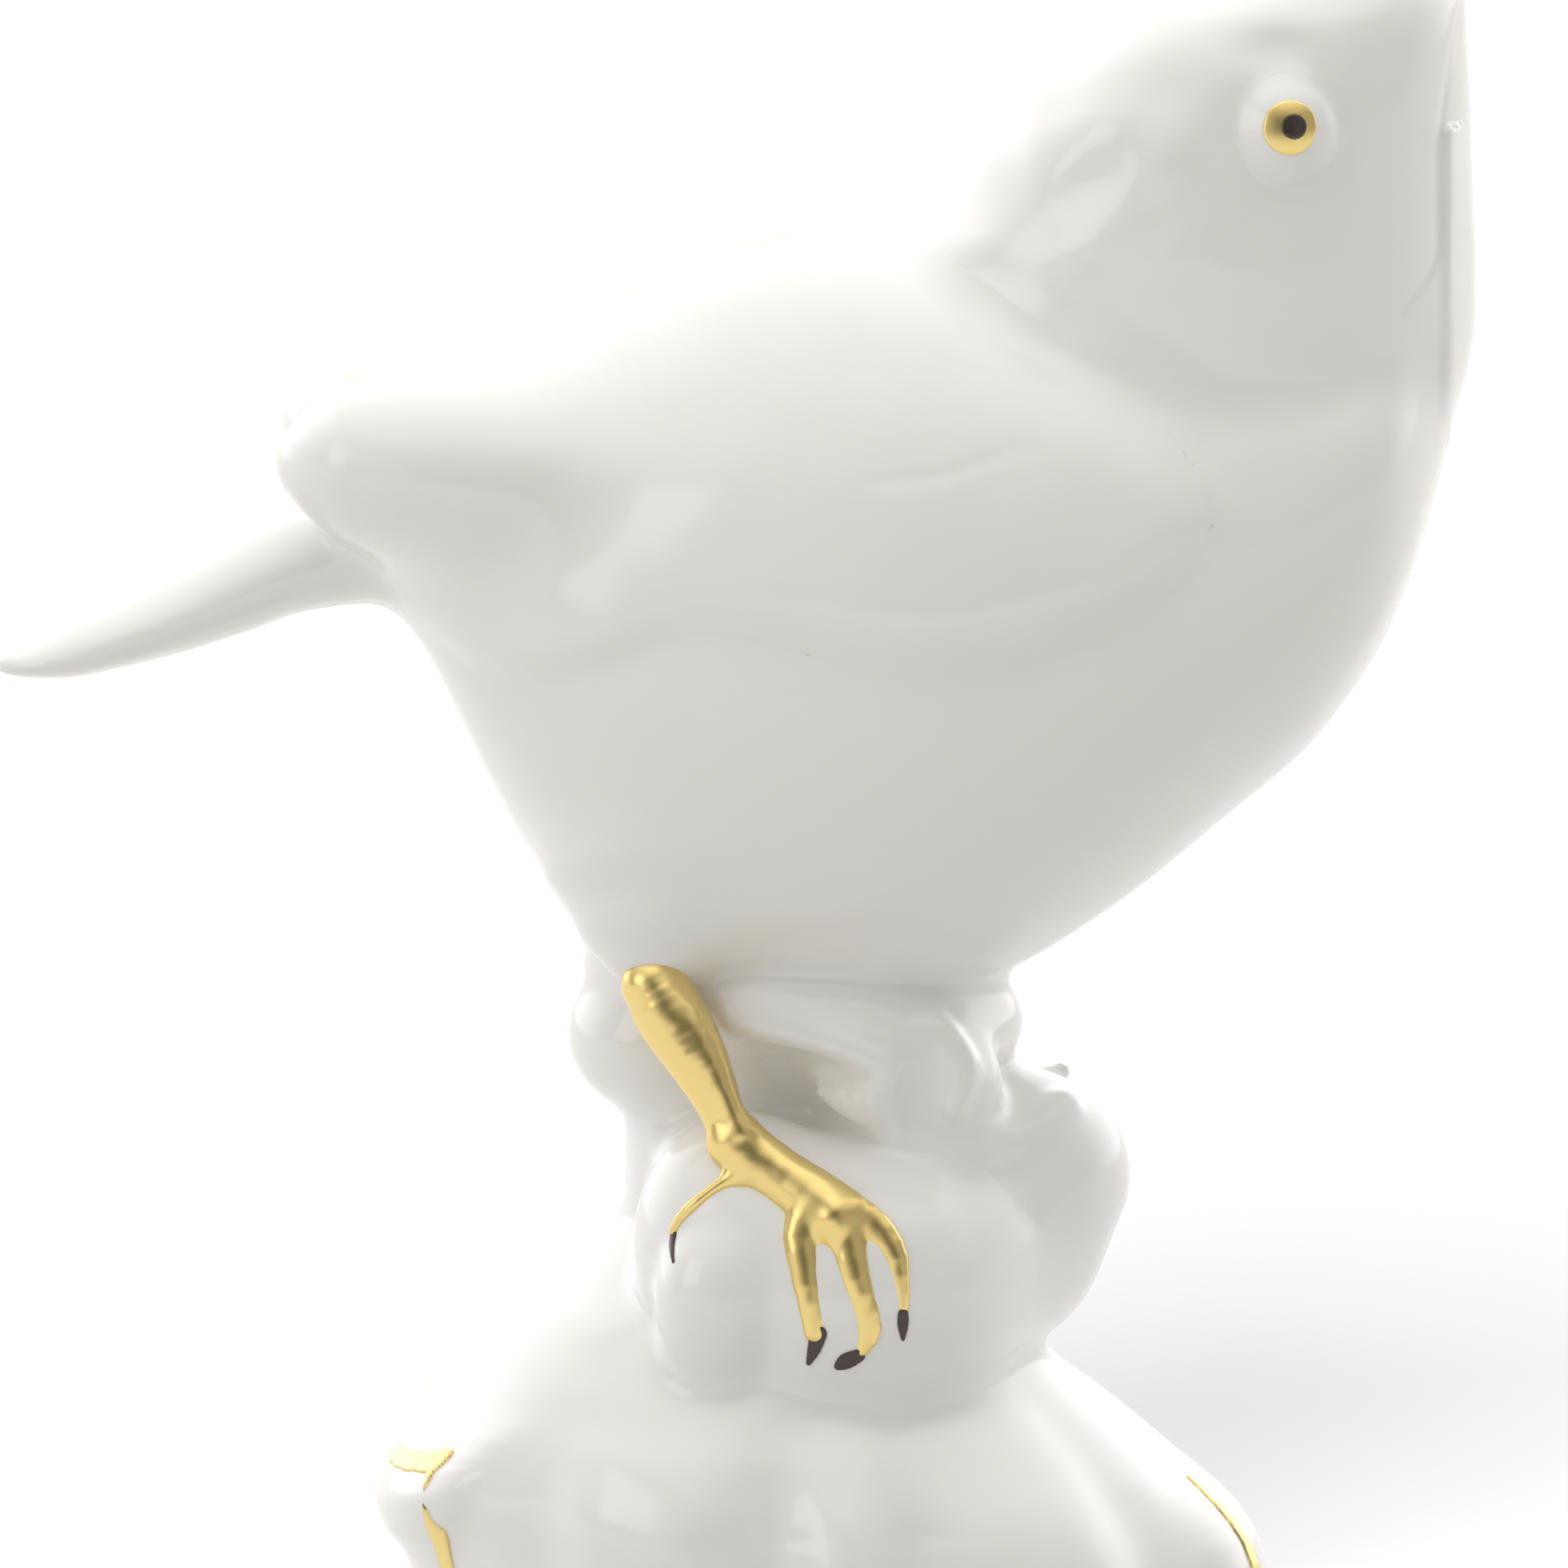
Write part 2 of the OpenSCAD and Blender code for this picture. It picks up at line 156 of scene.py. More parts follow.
class Form:
    """Soft shape known by its distance, which is below zero inside."""

    reach: Box
    margin = 9.0

    def distance(self, p: Array) -> Array:
        """Distance of each point from the form."""
        raise NotImplementedError

    def __call__(self, p: Array) -> Array:
        """Distance of each point, worked out near the form and far elsewhere."""
        out = np.full(len(p), FAR)
        near = self.reach.grown(self.margin).holds(p)
        if near.any():
            out[near] = self.distance(p[near])
        return out


class Pebble(Form):
    """Ellipsoid that may be tipped about the Y axis."""

    def __init__(self, centre: Sequence[float], radii: Sequence[float], tip: float = 0.0) -> None:
        """Places the pebble.

        Args:
            centre: Middle of the pebble.
            radii: Half its length, width and height.
            tip: Lift of its long axis in degrees.
        """
        self.centre = np.array(centre, float)
        self.radii = np.array(radii, float)
        self.cos, self.sin = math.cos(math.radians(tip)), math.sin(math.radians(tip))
        room = self.radii.max() if tip else self.radii
        self.reach = Box(self.centre - room, self.centre + room)

    def distance(self, p: Array) -> Array:
        """Distance of each point from the pebble."""
        q = p - self.centre
        q = np.stack([q[:, 0] * self.cos + q[:, 2] * self.sin, q[:, 1],
                      q[:, 2] * self.cos - q[:, 0] * self.sin], axis=1)
        k = np.linalg.norm(q / self.radii, axis=1)
        slope = np.linalg.norm(q / self.radii**2, axis=1)
        return k * (k - 1.0) / np.maximum(slope, 1e-6)


class Strand(Form):
    """Round strand of changing thickness along a smooth path."""

    def __init__(self, rows: Sequence[Sequence[float]], steps: int = 3, flat: float = 1.0) -> None:
        """Lays the strand.

        Args:
            rows: Places and radii, as x, y, z, radius.
            steps: Links between two rows.
            flat: Stretch of the strand across Y.
        """
        self.rows = smooth_rows(rows, steps)
        self.flat = np.array([1.0, flat, 1.0])
        r = self.rows[:, 3].max() * max(1.0, flat)
        self.reach = Box(self.rows[:, :3].min(0) - r, self.rows[:, :3].max(0) + r)

    def distance(self, p: Array) -> Array:
        """Distance of each point from the strand."""
        return self.follow(p)[0]

    def follow(self, p: Array) -> tuple[Array, Array]:
        """Finds each point's place beside the strand.

        Args:
            p: Points to place.

        Returns:
            Distance of each point from the strand, and how far along it the point lies.
        """
        best = np.full(len(p), FAR)
        along = np.zeros(len(p))
        q = p / self.flat
        start = 0.0
        for a, b in zip(self.rows[:-1], self.rows[1:]):
            p0, p1 = a[:3] / self.flat, b[:3] / self.flat
            line = p1 - p0
            length = np.linalg.norm(line)
            t = np.clip((q - p0) @ line / max(length**2, 1e-9), 0.0, 1.0)
            d = np.linalg.norm(q - p0 - t[:, None] * line, axis=1) - (a[3] + t * (b[3] - a[3]))
            nearer = d < best
            best = np.where(nearer, d, best)
            along = np.where(nearer, start + t * length, along)
            start += length
        return best, along


class Loft(Form):
    """Oval sections along the X or Z axis."""

    def __init__(self, axis: int, rows: Array, centre_y: float = 0.0) -> None:
        """Sets out the loft.

        Args:
            axis: 0 for sections across X, and 2 for sections across Z.
            rows: Place along the axis, low side, high side and half width of each section.
            centre_y: Middle of the sections across Y.
        """
        self.axis, self.other, self.centre_y = axis, 2 - axis, centre_y
        table = smooth_rows(rows, 12)
        self.place = table[:, 0]
        self.mid = (table[:, 1] + table[:, 2]) / 2
        self.tall = np.maximum((table[:, 2] - table[:, 1]) / 2, 0.05)
        self.wide = np.maximum(table[:, 3], 0.05)
        self.slopes = [np.gradient(v, self.place) for v in (self.mid, self.tall, self.wide)]
        low, high = np.zeros(3), np.zeros(3)
        low[axis], high[axis] = self.place.min(), self.place.max()
        low[self.other], high[self.other] = table[:, 1].min(), table[:, 2].max()
        low[1], high[1] = centre_y - self.wide.max(), centre_y + self.wide.max()
        self.reach = Box(low, high)

    def distance(self, p: Array) -> Array:
        """Distance of each point from the loft."""
        s = p[:, self.axis]
        held = np.clip(s, self.place[0], self.place[-1])
        mid, tall, wide = (np.interp(held, self.place, v) for v in (self.mid, self.tall, self.wide))
        mid_s, tall_s, wide_s = (np.interp(held, self.place, v) for v in self.slopes)
        u = (p[:, self.other] - mid) / tall
        w = (p[:, 1] - self.centre_y) / wide
        k = np.maximum(np.sqrt(u * u + w * w), 0.05)
        along = -(u * (mid_s + u * tall_s) / tall + w * w * wide_s / wide) / k
        slope = np.sqrt(along**2 + (u / tall / k) ** 2 + (w / wide / k) ** 2)
        d = (k - 1.0) / slope
        past = np.abs(s - held)
        return np.where(past > 0, np.hypot(np.maximum(d, 0.0), past), d)


def dent(p: Array, middle: Sequence[float], size: Sequence[float], depth: float) -> Array:
    """Soft hollow pressed into a surface.

    Args:
        p: Points on or near the surface.
        middle: Middle of the hollow.
        size: Its reach along X, Y and Z.
        depth: Its depth.

    Returns:
        What to add to the distance at each point.
    """
    return depth * np.exp(-(((p - np.array(middle)) / np.array(size)) ** 2).sum(axis=1))


class Outline:
    """Closed outline in the X-Z plane, with distances read from a fine table."""

    STEP = 0.4
    ROOM = 8.0

    def __init__(self, rows: Sequence[Sequence[float]]) -> None:
        """Draws the outline through rows of x and z."""
        line = smooth_rows(rows, 6, closed=True)
        self.low = line.min(0) - self.ROOM
        count = ((line.max(0) + self.ROOM - self.low) / self.STEP).astype(int) + 2
        x, z = np.meshgrid(*(self.low[i] + self.STEP * np.arange(count[i]) for i in (0, 1)), indexing="ij")
        p = np.stack([x.ravel(), z.ravel()], axis=1)
        best, inside = np.full(len(p), FAR), np.zeros(len(p), bool)
        for a, b in zip(line, np.roll(line, -1, axis=0)):
            edge = b - a
            t = np.clip((p - a) @ edge / (edge @ edge), 0.0, 1.0)
            best = np.minimum(best, np.linalg.norm(p - a - t[:, None] * edge, axis=1))
            if a[1] != b[1]:
                crosses = (a[1] > p[:, 1]) != (b[1] > p[:, 1])
                inside ^= crosses & (p[:, 0] < a[0] + (p[:, 1] - a[1]) * edge[0] / edge[1])
        self.table = np.where(inside, -best, best).reshape(x.shape)

    def __call__(self, p: Array) -> Array:
        """Distance of each point from the outline, seen from the side."""
        cell = (p[:, [0, 2]] - self.low) / self.STEP
        top = np.array(self.table.shape) - 2
        i = np.clip(cell.astype(int), 0, top)
        f = np.clip(cell - i, 0.0, 1.0)
        x, z, a, b = i[:, 0], i[:, 1], f[:, 0], f[:, 1]
        t = self.table
        return ((t[x, z] * (1 - a) + t[x + 1, z] * a) * (1 - b)
                + (t[x, z + 1] * (1 - a) + t[x + 1, z + 1] * a) * b)


def hand_made(p: Array, wave: float) -> Array:
    """Gentle unevenness of a surface finished by hand.

    Args:
        p: Points on or near the surface.
        wave: Distance from one swell to the next.

    Returns:
        A value from about -1 to 1 at each point.
    """
    q = p * (2 * math.pi / wave)
    x, y, z = q[:, 0], q[:, 1], q[:, 2]
    return (np.sin(x + 1.3 * y + 0.4) * np.cos(0.8 * z - 0.5 * y + 1.1)
            + 0.6 * np.sin(1.7 * z + 0.6 * x + 2.0) * np.cos(1.4 * y + 0.3)
            + 0.4 * np.sin(2.3 * x - 1.9 * z + 0.7 * y)) / 2.0


# ---------------------------------------------------------------- the porcelain


class Porcelain:
    """The parts of the white figurine, and the one surface that the glaze makes of them."""

    SEAM_LAP = 2.4
    SEAM_DIVE = 0.4

    def __init__(self) -> None:
        """Starts with no parts."""
        self.parts: dict[str, Distance] = {}
        self.soft: dict[str, float | Distance] = {}

    def add(self, name: str, part: Distance, soft: float | Distance) -> None:
        """Adds a part that melts into those before it.

        Args:
            name: Name of the part.
            part: Its distance.
            soft: Reach of the fillet where it joins the others, the same all over or by place.
        """
        self.parts[name] = part
        self.soft[name] = soft

    def _join(self, whole: Array | None, name: str, d: Array, p: Array) -> Array:
        """Melts a part's distance into that of the parts before it."""
        if whole is None:
            return d
        soft = self.soft[name]
        return melt(whole, d, soft(p) if callable(soft) else soft)

    def surface(self, p: Array) -> Array:
        """Distance of each point from the glazed surface of the whole."""
        out = None
        for name, part in self.parts.items():
            d = part(p)
            out = self._join(out, name, d, p)
        return out + 0.07 * hand_made(p, 17.0)

    def onto(self, points: Sequence[Sequence[float]]) -> Array:
        """Nearest places on the glazed surface.

        Args:
            points: Points near the surface.

        Returns:
            The points, moved onto it.
        """
        p = np.array(points, float)
        for turn in range(8):
            p = p - slopes(self.surface, p, 0.15) * self.surface(p)[:, None]
        return p

    def film(self, region: Distance, lift: float, depth: float = 0.35) -> Distance:
        """Thin coat on the glazed surface.

        Args:
            region: Room that the coat keeps to.
            lift: Thickness of the coat.
            depth: How far it reaches into the glaze.

        Returns:
            Distance to the coat.
        """

        def distance(p: Array) -> Array:
            """Distance to the film that lies on the glaze."""
            d = self.surface(p)
            return carve(carve(d - lift, region(p), 0.1), -d - depth, 0.1)

        return distance

    def piece(self, name: str) -> Distance:
        """One part, cut from the whole where it meets its neighbours.

        It runs on a little way under them, and dives below the surface there, so that the seam
        doesn't show.

        Args:
            name: Name of the part.

        Returns:
            Distance to the part as a closed solid.
        """

        def distance(p: Array) -> Array:
            """Distance to the part of the porcelain that is this piece's own."""
            out, own, rest = None, None, np.full(len(p), FAR)
            for key, part in self.parts.items():
                d = part(p)
                out = self._join(out, key, d, p)
                if key == name:
                    own = d
                else:
                    rest = np.minimum(rest, d)
            out = out + 0.07 * hand_made(p, 17.0)
            past = (own - rest) / 2.0
            over = np.maximum(past, 0.0)
            dive = self.SEAM_DIVE * over * over / (over + 0.6)
            return carve(out + dive, past - self.SEAM_LAP, 0.5)

        return distance


# ---------------------------------------------------------------- meshes


class Grain(Enum):
    """How fine a piece is meshed, as the side of a mesh face in millimetres."""

    BROAD = 0.55
    FINE = 0.32
    SMALL = 0.2
    TINY = 0.11


def slopes(shape: Distance, p: Array, step: float) -> Array:
    """Unit normals of a shape's distance at each point."""
    corners = np.array([[1, -1, -1], [-1, -1, 1], [-1, 1, -1], [1, 1, 1]], float)
    n = sum(c * shape(p + c * step)[:, None] for c in corners)
    return n / np.maximum(np.linalg.norm(n, axis=1), 1e-9)[:, None]


def mesh_of(shape: Distance, box: Box, grain: Grain) -> tuple[Array, Array]:
    """Meshes a closed form with even quads that lie exactly on it.

    Args:
        shape: Distance to the form.
        box: Room that holds the form.
        grain: Size of a mesh face.

    Returns:
        Points in millimetres, and quads.
    """
    h, coarse = grain.value, 4
    low = box.low - 3 * h
    blocks = np.ceil((box.high + 3 * h - low) / (h * coarse)).astype(int)
    block = np.stack(np.meshgrid(*(np.arange(n) for n in blocks), indexing="ij"), axis=-1).reshape(-1, 3)
    rough = shape(low + (block + 0.5) * h * coarse)
    values = np.repeat(np.repeat(np.repeat(np.clip(rough, -9.0, 9.0).reshape(blocks), coarse, 0), coarse,
                                 1), coarse, 2)
    near = block[np.abs(rough) < h * coarse * 1.5 + 0.6]
    cell = np.stack(np.meshgrid(*(np.arange(coarse),) * 3, indexing="ij"), axis=-1).reshape(-1, 3)
    index = (near[:, None, :] * coarse + cell[None]).reshape(-1, 3)
    values[tuple(index.T)] = shape(low + (index + 0.5) * h)
    grid = openvdb.FloatGrid(9.0)
    grid.copyFromArray(values.astype(np.float32))
    points, quads = grid.convertToQuads(0.0)
    points = low + (np.asarray(points, float) + 0.5) * h
    quads = np.asarray(quads, int)
    ends = np.concatenate([quads.ravel(), np.roll(quads, -1, axis=1).ravel()])
    others = np.concatenate([np.roll(quads, -1, axis=1).ravel(), quads.ravel()])
    links = np.maximum(np.bincount(ends, minlength=len(points)), 1)[:, None]
    for turn in range(4):
        mean = np.stack([np.bincount(ends, points[others, k], len(points)) for k in range(3)],
                        axis=1) / links
        n = slopes(shape, points, h * 0.3)
        shift = (mean - points) * 0.5
        points = points + shift - n * np.sum(shift * n, axis=1)[:, None]
        points = points - n * np.clip(shape(points), -h, h)[:, None]
    return points, quads


def face_out(points: Array, quads: Array) -> Array:
    """Quads turned so that the volume they close is positive."""
    a, b, c, d = (points[quads[:, k]] for k in range(4))
    volume = np.sum(a * np.cross(b, c)) + np.sum(a * np.cross(c, d))
    return quads if volume > 0 else quads[:, ::-1]


@dataclass
class Piece:
    """One closed piece of the figurine."""

    name: str
    node: str
    shape: Distance
    box: Box
    grain: Grain
    marks: dict[str, Callable[[Array], Array]] = field(default_factory=dict)

    def build(self, finish: "Finish") -> bpy.types.Object:
        """Meshes the piece, dresses it and hangs it on the frame.

        Args:
            finish: Finish that covers the piece.

        Returns:
            The finished object.
        """
        points, quads = mesh_of(self.shape, self.box, self.grain)
        quads = face_out(points, quads)
        mesh = bpy.data.meshes.new(self.name)
        mesh.vertices.add(len(points))
        mesh.vertices.foreach_set("co", (points * MM).ravel())
        mesh.loops.add(quads.size)
        mesh.loops.foreach_set("vertex_index", quads.ravel())
        mesh.polygons.add(len(quads))
        mesh.polygons.foreach_set("loop_start", np.arange(0, quads.size, 4))
        mesh.polygons.foreach_set("use_smooth", np.ones(len(quads), bool))
        mesh.update(calc_edges=True)
        mesh.validate()
        for mark, measure in self.marks.items():
            value = measure(points)
            kind = "FLOAT" if value.ndim == 1 else "FLOAT_VECTOR"
            slot = mesh.attributes.new(mark, kind, "POINT")
            slot.data.foreach_set("value" if value.ndim == 1 else "vector",
                                  value.astype(np.float32).ravel())
        piece = bpy.data.objects.new(self.name, mesh)
        bpy.context.scene.collection.objects.link(piece)
        mesh.materials.append(finish.material())
        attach(piece, BODY_NAME)
        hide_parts(self.node)
        log.info("%s: %d points, %s", self.name, len(points), finish.slot)
        return piece


# ---------------------------------------------------------------- node sheets


class Wire:
    """Output of a shader node that takes part in arithmetic."""

    def __init__(self, sheet: "Sheet", socket: bpy.types.NodeSocket) -> None:
        """Wraps a socket of the sheet's tree."""
        self.sheet = sheet
        self.socket = socket

    def _math(self, operation: str, a: "Value", b: "Value" = 0.0, clamp: bool = False) -> "Wire":
        """Adds a Math node for one operation."""
        return self.sheet.node("ShaderNodeMath", {"operation": operation, "use_clamp": clamp}, {0: a, 1: b})

    def __add__(self, other: "Value") -> "Wire":
        """This value plus another."""
        return self._math("ADD", self, other)

    def __sub__(self, other: "Value") -> "Wire":
        """This value less another."""
        return self._math("SUBTRACT", self, other)

    def __rsub__(self, other: "Value") -> "Wire":
        """Another value less this one."""
        return self._math("SUBTRACT", other, self)

    def __mul__(self, other: "Value") -> "Wire":
        """This value times another."""
        return self._math("MULTIPLY", self, other)

    def __pow__(self, other: "Value") -> "Wire":
        """This value to a power."""
        return self._math("POWER", self, other)

    def __gt__(self, other: "Value") -> "Wire":
        """One where this value is the greater, and zero elsewhere."""
        return self._math("GREATER_THAN", self, other)

    def __lt__(self, other: "Value") -> "Wire":
        """One where this value is the lesser, and zero elsewhere."""
        return self._math("LESS_THAN", self, other)

    __radd__ = __add__
    __rmul__ = __mul__

    def held(self) -> "Wire":
        """This value kept from zero to one."""
        return self._math("ADD", self, 0.0, clamp=True)


Value = Wire | float | Sequence[float]


class Sheet:
    """The shader nodes of one material or world."""

    def __init__(self, tree: bpy.types.NodeTree) -> None:
        """Clears the tree."""
        self.tree = tree
        tree.nodes.clear()

    def node(self, kind: str, settings: dict[str, object], inputs: dict[str | int, Value],
             output: str | int = 0) -> Wire:
        """Adds a node.

        Args:
            kind: Type of the node.
            settings: Its properties, set before its sockets.
            inputs: Values or links of its sockets.
            output: Name or place of the output to return.

        Returns:
            The chosen output.
        """
        node = self.tree.nodes.new(kind)
        for key, value in settings.items():
            setattr(node, key, value)
        for key, value in inputs.items():
            if isinstance(value, Wire):
                self.tree.links.new(value.socket, node.inputs[key])
            else:
                node.inputs[key].default_value = value
        return Wire(self, node.outputs[output] if len(node.outputs) else None)

    def mix(self, share: Value, low: Value, high: Value) -> Wire:
        """Colour between two others."""
        return self.node("ShaderNodeMix", {"data_type": "RGBA"}, {0: share, 6: low, 7: high}, 2)

    def noise(self, scale: float, place: Wire, detail: float = 3.0, rough: float = 0.5) -> Wire:
        """Cloudy value from zero to one."""
        return self.node("ShaderNodeTexNoise", {}, {"Vector": place, "Scale": scale, "Detail": detail,
                                                    "Roughness": rough}, "Fac")

    def span(self, value: Value, low: float, high: float) -> Wire:
        """Smooth value from zero at low to one at high."""
        return self.node("ShaderNodeMapRange", {"interpolation_type": "SMOOTHSTEP"},
                         {"Value": value, "From Min": low, "From Max": high})

    def place(self) -> Wire:
        """Point on the object, in metres."""
        return self.node("ShaderNodeTexCoord", {}, {}, "Object")

    def stretched(self, place: Wire, scale: Sequence[float]) -> Wire:
        """Point scaled along each axis."""
        return self.node("ShaderNodeVectorMath", {"operation": "MULTIPLY"}, {0: place, 1: scale})

    def mark(self, name: str, output: str = "Fac") -> Wire:
        """Measure that a piece carries at each of its points."""
        return self.node("ShaderNodeAttribute", {"attribute_name": name}, {}, output)

    def bump(self, height: Wire, distance: float, strength: float = 1.0) -> Wire:
        """Normal of a fine relief."""
        return self.node("ShaderNodeBump", {},
                         {"Height": height, "Distance": distance, "Strength": strength})

    def principled(self, inputs: dict[str, Value]) -> None:
        """Ends the sheet in a surface shader."""
        shader = self.node("ShaderNodeBsdfPrincipled", {}, inputs)
        self.node("ShaderNodeOutputMaterial", {}, {"Surface": shader})


# ---------------------------------------------------------------- finishes


@dataclass(frozen=True)
class Finish:
    """Surface finish of some pieces."""

    slot: str

    def material(self) -> bpy.types.Material:
        """The material that bears the finish's name: one that came with the frame, or else a new one."""
        found = bpy.data.materials.get(self.slot)
        if found:
            return found
        made = bpy.data.materials.new(self.slot)
        made.use_nodes = True
        self.paint(Sheet(made.node_tree))
        return made

    def paint(self, sheet: Sheet) -> None:
        """Draws the finish's nodes."""
        raise NotImplementedError


@dataclass(frozen=True)
class ClearGlaze(Finish):
    """Glossy clear glaze over warm white porcelain, greyer in its hollows: painted shade, tinted like glaze
    pooled there.
    """

    slot: str = "glazed_porcelain"
    white: Sequence[float] = (0.745, 0.732, 0.705, 1.0)
    # Grey-green of glaze pooled in hollows, darkened further as painted shade.
    pooled_glaze_and_shade: Sequence[float] = (0.49, 0.505, 0.48, 1.0)
    speck: Sequence[float] = (0.42, 0.34, 0.26, 1.0)
    gloss: float = 0.07

    def paint(self, sheet: Sheet) -> None:
        """Draws glaze with painted shade in its hollows, pinholes and a slow waviness."""
        place = sheet.place()
        cloud = sheet.noise(45.0, place, 2.0)
        # Painted shade: the glaze greys towards the pooled colour the deeper a point lies in a hollow.
        hollow = sheet.mark("hollow")
        colour = sheet.mix((hollow * 0.9 + (cloud - 0.5) * 0.12).held(), self.white, self.pooled_glaze_and_shade)
        dots = sheet.node("ShaderNodeTexVoronoi", {"feature": "F1"}, {"Vector": place, "Scale": 210.0},
                          "Distance")
        chosen = sheet.node("ShaderNodeTexVoronoi", {"feature": "F1"}, {"Vector": place, "Scale": 210.0},
                            "Color")
        rare = sheet.span(sheet.node("ShaderNodeSeparateColor", {}, {"Color": chosen}, 0), 0.965, 0.975)
        pin = (1 - sheet.span(dots, 0.02, 0.05)) * rare
        colour = sheet.mix(pin * 0.55, colour, self.speck)
        waves = sheet.noise(130.0, place, 1.0) + sheet.noise(420.0, place, 2.0) * 0.12
        sheet.principled({
            "Base Color": colour,
            "Roughness": sheet.noise(90.0, place, 2.0) * 0.05 + self.gloss,
            "IOR": 1.52,
            "Coat Weight": 1.0,
            "Coat Roughness": 0.03,
            "Normal": sheet.bump(waves - pin * 0.6, 0.00006, 0.5),
        })


@dataclass(frozen=True)
class BurnishedGold(Finish):
    """Fired gold, rubbed bright along the brush strokes, and darkened by painted shade and dark reflection
    where the piece marks it.
    """

    slot: str = "burnished_gold"
    bright: Sequence[float] = (0.43, 0.285, 0.04, 1.0)
    dull: Sequence[float] = (0.25, 0.14, 0.015, 1.0)
    shaded_gold: Sequence[float] = (0.05, 0.032, 0.006, 1.0)

    def paint(self, sheet: Sheet) -> None:
        """Draws gold with strokes that run along the piece, and with painted shade and dark reflection where
        the piece is marked for it.
        """
        along = sheet.stretched(sheet.mark("grain", "Vector"), (0.35, 6.0, 6.0))
        strokes = sheet.noise(1.0, along, 4.0, 0.6)
        place = sheet.place()
        patches = sheet.noise(500.0, place, 3.0)
        colour = sheet.mix(sheet.span(strokes * 0.55 + patches * 0.45, 0.32, 0.68), self.dull, self.bright)
        # Painted shade and dark reflection: the gold turns dark brown where the piece's mark says.
        brown = sheet.mark("brown")
        colour = sheet.mix((brown * (strokes * 0.7 + 0.6)).held(), colour, self.shaded_gold)
        sheet.principled({
            "Base Color": colour,
            "Metallic": 1.0,
            "Roughness": strokes * 0.14 + patches * 0.05 + 0.12,
            "Normal": sheet.bump(strokes + patches * 0.25, 0.00002, 0.35),
        })


@dataclass(frozen=True)
class DarkEnamel(Finish):
    """Brown-black enamel, painted in one touch of the brush."""

    slot: str = "dark_enamel"
    dark: Sequence[float] = (0.035, 0.024, 0.02, 1.0)
    thin: Sequence[float] = (0.085, 0.06, 0.05, 1.0)

    def paint(self, sheet: Sheet) -> None:
        """Draws enamel that is thinner in patches."""
        place = sheet.place()
        patches = sheet.noise(900.0, place, 3.0)
        sheet.principled({
            "Base Color": sheet.mix(sheet.span(patches, 0.35, 0.7), self.dark, self.thin),
            "Roughness": patches * 0.2 + 0.2,
            "Normal": sheet.bump(patches, 0.00004, 0.5),
        })


@dataclass(frozen=True)
class BareBisque(Finish):
    """Unglazed porcelain, ground level and faintly soiled."""

    slot: str = "unglazed_bisque"
    clean: Sequence[float] = (0.74, 0.71, 0.65, 1.0)
    soiled: Sequence[float] = (0.55, 0.49, 0.41, 1.0)

    def paint(self, sheet: Sheet) -> None:
        """Draws a dry, slightly gritty surface."""
        place = sheet.place()
        grit = sheet.noise(2600.0, place, 3.0)
        stain = sheet.noise(70.0, place, 4.0, 0.6)
        sheet.principled({
            "Base Color": sheet.mix(sheet.span(stain, 0.45, 0.8) * 0.6, self.clean, self.soiled),
            "Roughness": grit * 0.15 + 0.72,
            "Normal": sheet.bump(grit, 0.00008, 0.7),
        })


GLAZE, GOLD, ENAMEL, BISQUE = ClearGlaze(), BurnishedGold(), DarkEnamel(), BareBisque()


# ---------------------------------------------------------------- sub-assemblies


class Side(Enum):
    """The bird's own right and left."""

    RIGHT = -1
    LEFT = 1

    @property
    def word(self) -> str:
        """The side as it stands in a name."""
        return self.name.lower()


def mirrored(p: Array) -> Array:
    """Points brought over to the bird's right."""
    return np.stack([p[:, 0], -np.abs(p[:, 1]), p[:, 2]], axis=1)


def beside(part: Distance, side: Side) -> Distance:
    """A part that is made for the bird's right, on either side."""
    flip = np.array([1.0, -side.value, 1.0])
    return lambda p: part(p * flip)


def together(parts: Iterable[Distance], soft: float) -> Distance:
    """Several forms melted into one."""
    parts = list(parts)

    def distance(p: Array) -> Array:
        """Distance to the nearest of the parts, melted."""
        out = parts[0](p)
        for part in parts[1:]:
            out = melt(out, part(p), soft)
        return out

    return distance


